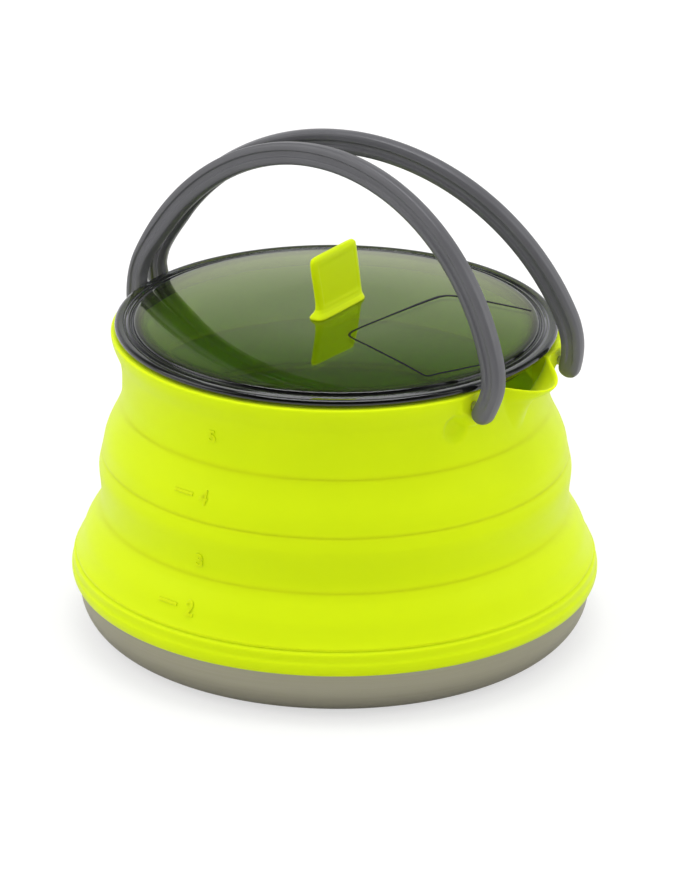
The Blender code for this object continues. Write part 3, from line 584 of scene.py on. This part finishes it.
def upper_band():
    """Close the band's section at every angle: outside up, over the rounded rim, inside down.

    The angles crowd towards the spout. Across its mouth the inside opens up to the outer wall, less
    the spout's own thickness.
    """
    even = np.linspace(-np.pi, np.pi, BAND_TURNS, endpoint=False)
    angle = np.degrees(even - SPOUT_CROWD * np.sin(even))[:, None]
    z = crowded(UPPER_VALLEY, RIM_TOP, BAND_STEPS, BAND_CROWD)[None, :]
    into_round = np.clip(z - RIM_TOP + RIM_ROUND, 0.0, None)
    inset = RIM_ROUND - np.sqrt(np.clip(RIM_ROUND ** 2 - into_round ** 2, 0.0, None))
    outside = band_radius(angle, z) - inset
    mouth = soft_step((MOUTH_HALF - np.abs(angle)) / MOUTH_FADE)
    inner_z, plain = np.array(INNER_BAND_LINE).T[:, None, :]
    round_in = np.clip(RIM_ROUND - (RIM_TOP - inner_z), 0.0, None) ** 2 / RIM_ROUND
    open_wall = band_radius(angle, inner_z) - SPOUT_WALL + round_in
    inside = plain + (np.maximum(plain, open_wall) - plain) * mouth
    radius = np.concatenate([outside, inside], axis=1)
    height = np.concatenate([z + 0.0 * angle, inner_z + 0.0 * angle], axis=1)
    drop = SPOUT_DROP * spout_shape(angle, RIM_TOP)
    height = height - drop * soft_step((height - FLARE_Z) / (RIM_TOP - FLARE_Z))
    turn = np.radians(angle)
    grid = points(radius * np.cos(turn), radius * np.sin(turn), height)
    piece = lay_surface("folding_wall_upper_band", grid, wrap_columns=True)
    piece.data.materials.append(silicone)
    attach(piece, "upper")
    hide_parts("upper_band")


upper_band()

# %% [markdown]
# ## Cup marks
#
# Raised numbers and ticks show the cups. They stand about a third of a millimetre proud of the wall,
# as an engraver cuts them into the mould. A text object gives each number as a small solid. Its flat
# points are then wrapped round the wall, so that they follow the curve under them.

# %% Cup marks
MARK_RELIEF, MARK_ROOT, MARK_ANGLE = 0.36, -0.15, -90.4
TICK_HALF, TICK_HALF_HEIGHT, TICK_ANGLE = 3.3, 0.5, -96.5
TICK_ROOT_HALF, TICK_POWER, TICK_STEPS, TICK_TOP_STEPS = 0.3, 0.7, 40, 11


def wrap_on_wall(flat, line, angle, height):
    """Points (x, y, depth) put on the wall.

    turn = angle + x / wall(z), z = height + y, radius = wall(z) + depth.
    """
    x, y, depth = np.moveaxis(flat, -1, 0)
    z = height + y
    wall = line_through(line, z) - crease(z)
    turn = np.radians(angle) + x / wall
    radius = wall + depth
    return points(radius * np.cos(turn), radius * np.sin(turn), z)


def raised_number(digit, line, height, tall):
    """One number: a text solid scaled to its height, its thickness set to run from root to relief.

    The text is one unit tall, so its thickness, rounded edge and boldness are shares of its height.
    """
    curve = bpy.data.curves.new("number", "FONT")
    curve.body, curve.align_x, curve.align_y = digit, "CENTER", "CENTER"
    curve.extrude, curve.offset = 0.03, 0.012
    curve.bevel_depth, curve.bevel_resolution = 0.014, 2
    holder = bpy.data.objects.new("number", curve)
    bpy.context.scene.collection.objects.link(holder)
    mesh = bpy.data.meshes.new_from_object(holder)
    bpy.data.objects.remove(holder)
    mesh.name = "cup_number_" + digit
    mesh.materials.clear()
    flat = np.empty(len(mesh.vertices) * 3)
    mesh.vertices.foreach_get("co", flat)
    flat = flat.reshape(-1, 3)
    flat = flat - (flat.max(axis=0) + flat.min(axis=0)) / 2.0
    span = np.ptp(flat, axis=0)
    flat = flat * (tall / span[1], tall / span[1], (MARK_RELIEF - MARK_ROOT) / span[2])
    flat[:, 2] += (MARK_RELIEF + MARK_ROOT) / 2.0
    mesh.vertices.foreach_set("co", (wrap_on_wall(flat, line, MARK_ANGLE, height) * MM).reshape(-1))
    return finish_mesh("cup_number_" + digit, mesh)


def raised_tick(name, line, height):
    """One tick: a bar with a rounded top, carried along the wall's curve."""
    x = np.linspace(-TICK_HALF, TICK_HALF, TICK_STEPS)[:, None]
    swing = np.linspace(0.0, np.pi, TICK_TOP_STEPS)
    y = np.concatenate([TICK_HALF_HEIGHT * np.cos(swing), [-TICK_ROOT_HALF, TICK_ROOT_HALF]])
    depth = np.concatenate([MARK_RELIEF * np.sin(swing) ** TICK_POWER, [MARK_ROOT, MARK_ROOT]])
    grid = wrap_on_wall(points(x, y, depth), line, TICK_ANGLE, height)
    return lay_surface(name, grid, wrap_rows=False, wrap_columns=True, capped=True)


def carry_mark(piece, ring):
    """Give a mark the wall's silicone; bake it in place on a web, else attach it to its ring."""
    piece.data.materials.append(silicone)
    if ring == "lower_web":
        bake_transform(piece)
    elif ring == "upper_web":
        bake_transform(piece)
    else:
        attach(piece, ring)


CUPS = [("2", LOWER_WEB_LINE, 28.3, 4.2, "lower_web"), ("3", MIDDLE_LINE, 41.1, 4.1, "middle"),
        ("4", UPPER_WEB_LINE, 59.4, 3.9, "upper_web"), ("5", UPPER_LINE, 76.2, 3.7, "upper")]
for digit, line, height, tall, ring in CUPS:
    carry_mark(raised_number(digit, line, height, tall), ring)
    if digit in "24":  # only the even cups have a tick
        carry_mark(raised_tick("cup_tick_" + digit, line, height), ring)

# %% [markdown]
# ## Base pan
#
# The pan is spun from aluminium sheet and hard anodised. To the eye that is a dull grey-brown skin,
# half way between metal and stone, with the fine rings that the spinning tool leaves round it. Its
# outline is two arcs and two walls, turned about the axis.

# %% Base pan
RINGS_ROUND, RINGS_UP = 6.0, 300.0
CORNER_STEPS, FLAT_STEPS, SIDE_STEPS = 28, 24, 12


def hard_anodised(name):
    """Dull metal with fine turned rings: noise drawn out along the circumference."""
    # The oxide skin is not metal itself, so the metallic share is below 1.
    finish, tree, shader = new_finish(name, Metallic=0.7, Roughness=0.42)
    place = add_node(tree, "ShaderNodeTexCoord")
    # UV counts the outline's points, which lie closer on the wall than underneath. So 300 rings over
    # it are about 0.3 mm apart on the wall, like the real ones, and about 1 mm apart underneath.
    drawn_out = add_node(tree, "ShaderNodeMapping", {
        "Vector": place.outputs["UV"], "Scale": (RINGS_ROUND, RINGS_UP, 1.0)})
    rings = add_node(tree, "ShaderNodeTexNoise", {
        "Vector": drawn_out.outputs[0], "Scale": 1.0, "Detail": 4.0})
    tone = add_node(tree, "ShaderNodeMix", {
        0: rings.outputs[0], COLOUR_A: srgb("#9c9886"), COLOUR_B: srgb("#aca896")},
        data_type="RGBA")
    tree.links.new(tone.outputs[COLOUR_OUT], shader.inputs["Base Color"])
    bump = add_node(tree, "ShaderNodeBump", {
        "Height": rings.outputs[0], "Strength": 0.25, "Distance": 0.02 * MM})
    tree.links.new(bump.outputs[0], shader.inputs["Normal"])
    return finish


def pan():
    """Flat underside, round corner, upright wall, and the same again inside, one thickness in."""
    swing = np.radians(np.linspace(-90.0, 0.0, CORNER_STEPS))
    turn = points(np.cos(swing), np.sin(swing))
    centre, inside = PAN_RADIUS - PAN_CORNER, PAN_CORNER - PAN_WALL
    outer = np.array([centre, PAN_CORNER]) + PAN_CORNER * turn
    inner = np.array([centre, PAN_FLOOR + inside]) + inside * turn
    flat = np.linspace(0.0, centre, FLAT_STEPS)
    side = np.linspace(PAN_CORNER, PAN_HEIGHT, SIDE_STEPS)
    profile = np.concatenate([
        points(flat, 0.0)[:-1], outer, points(PAN_RADIUS, side)[1:],
        points(PAN_RADIUS - PAN_WALL, side)[:0:-1], inner[::-1],
        points(flat, PAN_FLOOR)[::-1][1:]])
    piece = lay_surface("spun_base_pan", turn_about_axis(profile))
    piece.data.materials.append(hard_anodised("hard_anodised_aluminium"))
    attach(piece, "base")
    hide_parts("base_pan")


pan()

# %% [markdown]
# ## Bails
#
# The two bails are moulded in glass-filled nylon, dark grey and satin. Each is one bar carried along
# a long arc round the pot that tightens into a bend at each foot, with a groove along both faces.

# %% Nylon finish
# Nylon has IOR 1.53, and its mould leaves it satin. The glass fibres cloud its colour a little, in
# patches of about 12 mm. Spark erosion leaves pits of 0.1 mm, drawn at 0.45 mm, so that they show.
NYLON = dict(cloud=12.0, grain=0.45, strength=0.2, depth=0.03, Roughness=0.31, IOR=1.53)
nylon = moulded_finish("moulded_grey_nylon", ("#606064", "#545457"), **NYLON)
print("finish:", nylon.name)

# %% Line of a bail
BAIL_RISE, BAIL_DEPTH, BAIL_WIDTH, FOOT_BEND = 56.6, 6.6, 4.6, 24.2
BAIL_LEAN = {-1.0: 8.6, 1.0: 4.9}
ARCH_STEPS, BEND_STEPS, TAIL_STEPS = 90, 50, 22
ARCH_RADII = np.linspace(1.5, 6.0, 20001) * FOOT_BEND
TAIL_SWING, TAIL_POWER, TAIL_THIN = 84.0, 0.7, 0.45
GROOVE_END, GROOVE_FADE = -1.0, 5.0
LID_CUT_LOW, LID_CUT_HIGH = 0.4, 1.1
CUT_RISE_START, CUT_RISE, CUT_END, CUT_FADE = 4.0, 5.0, 26.0, 14.0


def bail_line(half_length):
    """Half a bail's centre line as (along, up, direction): a long arc, then the tighter foot bend.

    The long arc's radius is the one whose foot bend ends on the pivot, read from a table of radii.
    """
    turn_in, radii = np.radians(FOOT_TURN_IN), ARCH_RADII
    cosine = (radii - BAIL_RISE + FOOT_BEND * np.sin(turn_in)) / (radii - FOOT_BEND)
    change = np.arccos(np.clip(cosine, -1.0, 1.0))
    reach = (radii - FOOT_BEND) * np.sin(change) + FOOT_BEND * np.cos(turn_in)
    arch = np.interp(half_length, reach, radii)
    change = np.interp(half_length, reach, change)
    phi = np.linspace(0.0, change, ARCH_STEPS)
    long_arc = points(arch * np.sin(phi), BAIL_RISE - arch + arch * np.cos(phi), phi)
    phi = np.linspace(change, np.pi / 2.0 + turn_in, BEND_STEPS)[1:]
    along = (arch - FOOT_BEND) * np.sin(change) + FOOT_BEND * np.sin(phi)
    rise = BAIL_RISE - arch + (arch - FOOT_BEND) * np.cos(change) + FOOT_BEND * np.cos(phi)
    print("bail arch radius", round(float(arch), 2))
    return long_arc, points(along, rise, phi)


def bail_stations(half_length, foot_curl, passes_lid):
    """Station table (along, up, direction, depth, width, groove) of half a bail, top to foot end.

    The foot curls inwards by foot_curl. Where the lid has to pass on its way up, the inner face is
    cut back, a little beside the resting lid and more above it, where the bail leans inwards.
    """
    long_arc, bend = bail_line(half_length)
    taper = soft_step(np.linspace(0.0, 1.0, len(bend)))
    upper = points(*long_arc.T, BAIL_DEPTH, BAIL_WIDTH, 1.0)
    lower = points(*bend.T, BAIL_DEPTH + (FOOT_DEPTH - BAIL_DEPTH) * taper, BAIL_WIDTH,
                   soft_step((bend[:, 1] - GROOVE_END) / GROOVE_FADE))
    swing = np.radians(np.linspace(0.0, TAIL_SWING, TAIL_STEPS))
    reach = FOOT_TAIL - FOOT_DEPTH / 2.0 + FOOT_DEPTH / 2.0 * np.sin(swing)
    u, v, direction = bend[-1]
    tail = points(u + reach * np.cos(direction), v - reach * np.sin(direction), direction,
                  FOOT_DEPTH * np.cos(swing) ** TAIL_POWER,
                  BAIL_WIDTH * (TAIL_THIN + (1.0 - TAIL_THIN) * np.cos(swing)), 0.0)
    table = np.concatenate([upper, lower, tail])
    curl = foot_curl * soft_step((CURL_START - table[:, 1]) / (CURL_START + FOOT_TAIL))
    more = soft_step((table[:, 1] - CUT_RISE_START) / CUT_RISE)
    cut = LID_CUT_LOW + (LID_CUT_HIGH - LID_CUT_LOW) * more
    cut = passes_lid * cut * soft_step((CUT_END - table[:, 1]) / CUT_FADE)
    table[:, 0] = table[:, 0] - curl + cut / 2.0
    table[:, 3] = table[:, 3] - cut * (table[:, 3] / FOOT_DEPTH).clip(0.0, 1.0)
    return table


# %% Section of a bail
CROWN, BULGE, GROOVE_HALF, GROOVE_DEPTH, BAR_CORNER = 0.55, 0.14, 0.95, 0.60, 0.8
GROOVE_POINTS = np.array([0.0, 0.62, 0.78, 0.95, 1.1, 1.27, 1.6]) * GROOVE_HALF
GROOVE_EDGE, GROOVE_SLOPE = 1.25 * GROOVE_HALF, 0.6 * GROOVE_HALF
FACE_SHARES, SIDE_SHARES = np.linspace(0.75, 1.0, 3), np.array([0.66, 0.33, 0.0])
CORNER_LIMIT, CORNER_POINTS = 0.6, 9


def bar_section(half_depth, half_width, groove):
    """One ring of a bail's section: crowned faces, crisp rounded corners, a groove on both faces.

    A quarter runs from the groove over the face and round the corner to the middle of the side, and
    is mirrored into the other three. The groove's share fades it out towards the feet.
    face = half width - crown * (along / half depth) ^ 2 - groove's dip.
    """
    corner = np.minimum(BAR_CORNER, CORNER_LIMIT * half_depth)
    full = half_depth.max() - BAR_CORNER
    along = np.concatenate([GROOVE_POINTS, FACE_SHARES * full])
    along = along * (half_depth - corner) / full
    dip = GROOVE_DEPTH * soft_step((GROOVE_EDGE - along) / GROOVE_SLOPE) * groove
    face = half_width - CROWN * (along / half_depth) ** 2 - dip
    swing = np.radians(np.linspace(90.0, 0.0, CORNER_POINTS)[1:])
    shoulder = half_width - CROWN * ((half_depth - corner) / half_depth) ** 2 - corner
    turn_along = half_depth - BULGE - corner + corner * np.cos(swing)
    turn_out = shoulder + corner * np.sin(swing)
    side_out = shoulder * SIDE_SHARES
    side_along = half_depth - BULGE * (side_out / shoulder) ** 2
    along = np.concatenate([along, turn_along, side_along], axis=1)
    out = np.concatenate([face, turn_out, side_out], axis=1)
    right_along = np.concatenate([along, along[:, -2::-1]], axis=1)
    right_out = np.concatenate([out, -out[:, -2::-1]], axis=1)
    return (np.concatenate([right_along, -right_along[:, -2:0:-1]], axis=1),
            np.concatenate([right_out, right_out[:, -2:0:-1]], axis=1))


# %% Bails
def bail(name, side):
    """Carry the section along both halves of the line and set the bail leaning on its hinge."""
    near, far = hinge_ends(side)
    half_length = np.linalg.norm(near - far) / 2.0
    back_half = bail_stations(half_length, 0.0, 1.0)
    spout_half = bail_stations(half_length, FOOT_CURL[side], 0.0)
    stations = np.concatenate([back_half[:0:-1] * (-1, 1, -1, 1, 1, 1), spout_half])
    u, v, phi, depth, width, groove = (column[:, None] for column in stations.T)
    across, out = bar_section(depth / 2.0, width / 2.0, groove)
    local = points(u + across * np.sin(phi), out, v + across * np.cos(phi))
    turn = np.arctan2((near - far)[1], (near - far)[0])
    lean = Matrix.Rotation(np.radians(side * BAIL_LEAN[side]), 3, "X")
    stand = Matrix.Rotation(turn, 3, "Z") @ lean
    grid = local @ np.array(stand).T + (near + far) / 2.0
    piece = lay_surface(name + "_moulding", grid, wrap_rows=False, wrap_columns=True, capped=True)
    piece.data.materials.append(nylon)
    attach(piece, name)
    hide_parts(name)


bail("front_bail", -1.0)
bail("rear_bail", 1.0)

# %% [markdown]
# ## Rim ring and pivot pins
#
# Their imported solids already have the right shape, so they only get their finish: black nylon for
# the ring that stiffens the rim from inside the silicone, and ground steel for the pins.

# %% Ring and pins
ring_nylon = moulded_finish("rim_ring_black_nylon", ("#2c2c2c", "#262626"), **NYLON)
# Ground steel is bright. Its scratches are far under 0.1 mm. They are drawn at 0.4 mm, so they
# show, and only change its gloss.
steel = wandering_gloss("ground_pin_steel", 0.4, 2.0, 0.22, 0.36,
                        Metallic=1.0, Base_Color=srgb("#b8b8b4"))
PINS = ("front_bail_spout_pin", "front_bail_back_pin", "rear_bail_spout_pin", "rear_bail_back_pin")
for node_name in ("rim_ring",) + PINS:
    node = bpy.data.objects[node_name]
    for slot in node.material_slots:
        slot.material = ring_nylon if node_name == "rim_ring" else steel
    print(node_name, "-", len(node.data.polygons), "faces, as packed")

# %% [markdown]
# ## Lid
#
# The lid is injection moulded in a clear, smoke-tinted copolyester. It darkens what is behind it and
# mirrors the sweep above it. From outside to inside run a rounded flange, a fine groove, a low bead
# and a second groove, and then a shallow dome with a slot for the tab.

# %% Lid finish
SMOKE_START, SMOKE_END = 53.0, 63.0
# Share of the way from the start radius to the end radius, and the colour there.
SMOKE = [(0.15, "#bcc6ae"), (0.32, "#6a6f67"), (0.55, "#6a6f67"), (0.65, "#878b80"),
         (0.9, "#7a7e76")]


def smoked_clear_with_painted_light(name):
    """Clear green-grey plastic, deeper where flange and plug are thick; painted shade at its rim."""
    # The mould is polished, so the surface is almost a mirror. A thin coat adds one more reflection
    # and tints what is seen through it: neutral over the flange, and a little lime over the dome,
    # which is painted light that stands in for the glow of the lime wall seen through the lid.
    finish, tree, shader = new_finish(
        name, Roughness=0.02, IOR=1.50, Transmission_Weight=1.0,
        Coat_Weight=0.66, Coat_Roughness=0.02)
    place = add_node(tree, "ShaderNodeTexCoord")
    level = add_node(tree, "ShaderNodeVectorMath", {
        0: place.outputs["Object"], 1: (1.0, 1.0, 0.0)}, operation="MULTIPLY")
    radius = add_node(tree, "ShaderNodeVectorMath", {0: level.outputs[0]}, operation="LENGTH")
    share = add_node(tree, "ShaderNodeMapRange", {
        "Value": radius.outputs["Value"], "From Min": SMOKE_START * MM, "From Max": SMOKE_END * MM})
    smoke_and_painted_edge = add_node(tree, "ShaderNodeValToRGB", {0: share.outputs[0]})
    marks = smoke_and_painted_edge.color_ramp.elements
    marks[0].position, marks[0].color = 0.0, srgb("#c8d2ba")
    # The near-black last stop is painted shade, for the dark that the flange's outer edge refracts.
    marks[1].position, marks[1].color = 1.0, srgb("#161a16")
    for position, colour in SMOKE:
        marks.new(position).color = srgb(colour)
    tree.links.new(smoke_and_painted_edge.outputs[0], shader.inputs["Base Color"])
    rim_share = add_node(tree, "ShaderNodeMapRange", {
        "Value": share.outputs[0], "From Min": 0.3, "From Max": 0.5})
    # The lime coat tint over the dome is painted light, for the lime wall's glow seen through it.
    coat_tint_and_painted_glow = add_node(tree, "ShaderNodeMix", {
        0: rim_share.outputs[0], COLOUR_A: srgb("#f4ffbc"), COLOUR_B: srgb("#f4f4ff")},
        data_type="RGBA")
    tree.links.new(coat_tint_and_painted_glow.outputs[COLOUR_OUT], shader.inputs["Coat Tint"])
    # The moulded skin is wavy by hundredths of a millimetre, over about 18 mm.
    flow = add_node(tree, "ShaderNodeTexNoise", {
        "Vector": place.outputs["Object"], "Scale": 1.0 / (18.0 * MM), "Detail": 1.0})
    bump = add_node(tree, "ShaderNodeBump", {
        "Height": flow.outputs[0], "Strength": 0.15, "Distance": 0.02 * MM})
    tree.links.new(bump.outputs[0], shader.inputs["Normal"])
    # Light from a lamp passes straight through and is only coloured, so the inside is not dark.
    path = add_node(tree, "ShaderNodeLightPath")
    clear = add_node(tree, "ShaderNodeBsdfTransparent", {"Color": smoke_and_painted_edge.outputs[0]})
    both = add_node(tree, "ShaderNodeMixShader", {
        0: path.outputs["Is Shadow Ray"],
        FIRST_SHADER: shader.outputs[0], SECOND_SHADER: clear.outputs[0]})
    tree.links.new(both.outputs[0], tree.nodes["Material Output"].inputs["Surface"])
    return finish


smoked_with_painted_light = smoked_clear_with_painted_light("smoked_copolyester_with_painted_light")
print("finish:", smoked_with_painted_light.name)

# %% Lid
DOME_EDGE, DOME_EDGE_Z, DOME_TOP_Z, DOME_POWER = 57.0, 92.15, 95.0, 2.7
LID_TOP_LINE = [
    (62.2, 89.6), (63.0, 89.8), (63.35, 90.5), (63.3, 91.1), (63.0, 91.5), (62.5, 91.72),
    (61.8, 91.72), (61.1, 91.66), (60.75, 91.55), (60.5, 91.32), (60.2, 91.22), (59.9, 91.34),
    (59.6, 91.52), (59.2, 91.56), (58.85, 91.4), (58.6, 91.15), (58.35, 91.05), (58.1, 91.2),
    (57.95, 91.6), (57.75, 91.92), (57.5, 92.06), (57.25, 92.13)]
LID_UNDER_LINE = [
    (54.6, 90.3), (55.8, 90.2), (56.5, 89.9), (56.7, 89.2), (56.7, 88.0), (56.7, 86.3),
    (56.9, 86.0), (57.6, 86.0), (58.3, 86.0), (58.5, 86.3), (58.5, 88.0), (58.5, 89.3),
    (58.8, 89.6), (60.0, 89.6)]
SLOT_HALF, SLOT_POWER, SLOT_BLEND, UNDER_EDGE = (1.8, 5.3), 2.0 / 6.0, 24.0, 54.4
LID_COLUMNS, DOME_RINGS = 360, 53


def dome_height(radius):
    """Top of the dome: edge height + rise * (1 - (radius / edge) ^ power)."""
    return DOME_EDGE_Z + (DOME_TOP_Z - DOME_EDGE_Z) * (1.0 - (radius / DOME_EDGE) ** DOME_POWER)


def squared_off(wave, power):
    """A sine or cosine pushed towards -1 and 1: its sign * its size ^ power."""
    return np.sign(wave) * np.abs(wave) ** power


def lid():
    """Circles outside, blended inwards to the slot's outline: (1 - w) * circle + w * slot."""
    angle = np.linspace(0.0, 2.0 * np.pi, LID_COLUMNS, endpoint=False)[:, None]
    inward = np.linspace(DOME_EDGE, 0.0, DOME_RINGS)
    share = soft_step((SLOT_BLEND - inward) / SLOT_BLEND)
    top = points(inward, dome_height(inward), share)
    under = points(inward, dome_height(inward) - LID_WALL, share)[inward < UNDER_EDGE][::-1]
    outer = points(*curve_through(LID_TOP_LINE).T, 0.0)
    below = points(*curve_through(LID_UNDER_LINE).T, 0.0)
    radius, height, slot = np.concatenate([outer, top, under, below]).T
    slot_x = SLOT_HALF[0] * squared_off(np.cos(angle), SLOT_POWER)
    slot_y = SLOT_HALF[1] * squared_off(np.sin(angle), SLOT_POWER)
    x = (1.0 - slot) * radius * np.cos(angle) + slot * slot_x
    y = (1.0 - slot) * radius * np.sin(angle) + slot * slot_y
    piece = lay_surface("clear_lid", points(x, y, height), wrap_columns=True, sharp=50)
    piece.data.materials.append(smoked_with_painted_light)
    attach(piece, "lid")
    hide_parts("lid_disc")


lid()

# %% [markdown]
# ## Printed line
#
# A thin black line is pad-printed on the dome. It frames one side of the lid, from the dome's edge
# and back to it. It is a ribbon of ink a few hundredths of a millimetre thick, laid on the dome's
# own formula, and broader on its far side than on its near one.

# %% Printed line
FRAME_CORNERS = [
    (43.3, 36.1), (40.2, 35.2), (34.4, 33.4), (28.5, 31.9), (21.4, 29.6), (18.8, 27.2),
    (17.8, 22.8), (16.1, 8.4), (14.7, -2.5), (13.7, -10.7), (13.9, -14.1), (15.9, -16.4),
    (23.8, -18.9), (30.1, -20.8), (36.0, -22.4), (42.3, -24.2), (45.0, -24.9), (46.2, -24.9),
    (47.0, -24.1), (48.3, -21.0), (50.4, -16.7), (52.5, -12.0), (53.9, -8.6)]
INK_THICKNESS, INK_LIFT, LINE_STEPS = 0.04, 0.01, 8
NEAR_HALF, FAR_MORE, WIDER_FROM, WIDER_OVER = 0.40, 0.40, 10.0, 30.0
INK_PROFILE = np.array([(-1.0, 0.0), (-0.9, 1.0), (0.9, 1.0), (1.0, 0.0)])
# The ink dries satin, with a little of its pigment's grain in the gloss. Grains are a few
# micrometres wide. They are drawn at 0.3 mm, so that they show.
ink = wandering_gloss("black_pad_print_ink", 0.3, 1.0, 0.35, 0.5,
                      Base_Color=srgb("#080a08"), Specular_IOR_Level=0.2)


def printed_line():
    """A ribbon along the smooth line through the drawn corners: path + normal * half * offset."""
    path = curve_through(FRAME_CORNERS, LINE_STEPS)
    ahead = np.gradient(path, axis=0)
    normal = points(ahead[:, 1], -ahead[:, 0]) / np.linalg.norm(ahead, axis=1)[:, None]
    frontness = path @ np.array(FRONT[:2])
    half = (NEAR_HALF + FAR_MORE * soft_step((WIDER_FROM - frontness) / WIDER_OVER))[:, None]
    offset, rise = INK_PROFILE.T
    flat = path[:, None] + normal[:, None] * (half * offset)[..., None]
    z = dome_height(np.hypot(flat[..., 0], flat[..., 1])) + rise * INK_THICKNESS + INK_LIFT
    grid = np.concatenate([flat, z[..., None]], axis=-1)
    piece = lay_surface("printed_lid_line", grid, wrap_rows=False, wrap_columns=True, capped=True)
    piece.data.materials.append(ink)
    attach(piece, "lid")


printed_line()

# %% [markdown]
# ## Pull tab
#
# The tab is soft lime silicone: a flared foot on the lid, a blade that narrows upwards, a shallow
# recess in both faces for the thumb, and a retaining foot under the lid.

# %% Pull tab
TAB_LEVELS = [
    (5.3, 13.3, 0.0, 90.1), (6.6, 14.6, 0.0, 90.4), (7.0, 15.0, 0.0, 91.3),
    (7.0, 15.0, 0.0, 92.5), (3.0, 10.0, 0.0, 92.5), (3.0, 10.0, 0.0, 94.9),
    (5.0, 24.2, 0.5, 94.9), (5.2, 24.3, 0.5, 95.3), (4.6, 23.8, 0.6, 95.8),
    (3.4, 22.9, 0.9, 96.5), (2.8, 22.2, 1.2, 97.4), (2.5, 22.0, 1.2, 99.0),
    (2.4, 22.2, 0.6, 103.5), (2.3, 22.4, -0.1, 107.5), (2.2, 22.5, -0.6, 111.2),
    (2.1, 22.1, -0.7, 112.2), (1.7, 21.2, -0.8, 112.8), (0.9, 19.6, -0.8, 113.2)]
TAB_TILT, TAB_SLOPE, TAB_FOOT_Z, TAB_RISE = 0.9, 0.005, 95.0, 18.0
END_POWER, FACE_POWER, TAB_COLUMNS, TAB_STEPS = 2.0 / 8.0, 2.0 / 3.0, 160, 6
RECESS_SHARE, RECESS_BORDER, RECESS_FADE = 0.12, 1.6, 0.8
RECESS_BOTTOM, BOTTOM_FADE, RECESS_TOP = 97.8, 1.2, 111.3


def tab():
    """Rounded sections at each level, thickness along X and length along Y, faces pushed in.

    A level is (thickness, length, middle along Y, height). The soft blade leans back a little, and
    its upper edge rises towards one end.
    """
    levels = np.asarray(TAB_LEVELS)
    index = np.arange(len(levels))
    order = np.linspace(0.0, len(levels) - 1.0, TAB_STEPS * (len(levels) - 1) + 1)
    thick, long, middle, z = (np.interp(order, index, column)[:, None] for column in levels.T)
    around = np.linspace(0.0, 2.0 * np.pi, TAB_COLUMNS, endpoint=False)
    y = long / 2.0 * squared_off(np.sin(around), END_POWER)
    x = thick / 2.0 * squared_off(np.cos(around), FACE_POWER)
    inside = soft_step((long / 2.0 - RECESS_BORDER - np.abs(y)) / RECESS_FADE)
    inside = inside * soft_step((z - RECESS_BOTTOM) / BOTTOM_FADE)
    inside = inside * soft_step((RECESS_TOP - z) / RECESS_FADE)
    height = np.clip((z - TAB_FOOT_Z) / TAB_RISE, 0.0, None)
    x = x * (1.0 - RECESS_SHARE * inside) - TAB_TILT * height
    grid = points(x, y + middle, z + TAB_SLOPE * y * height)
    piece = lay_surface("soft_pull_tab", grid, wrap_rows=False, wrap_columns=True, capped=True)
    piece.data.materials.append(silicone)
    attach(piece, "lid")
    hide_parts("pull_tab")


tab()

# %% [markdown]
# ## Colour view
#
# The standard view keeps every colour as it was worked out.

# %% View
bpy.context.scene.view_settings.view_transform = "Standard"
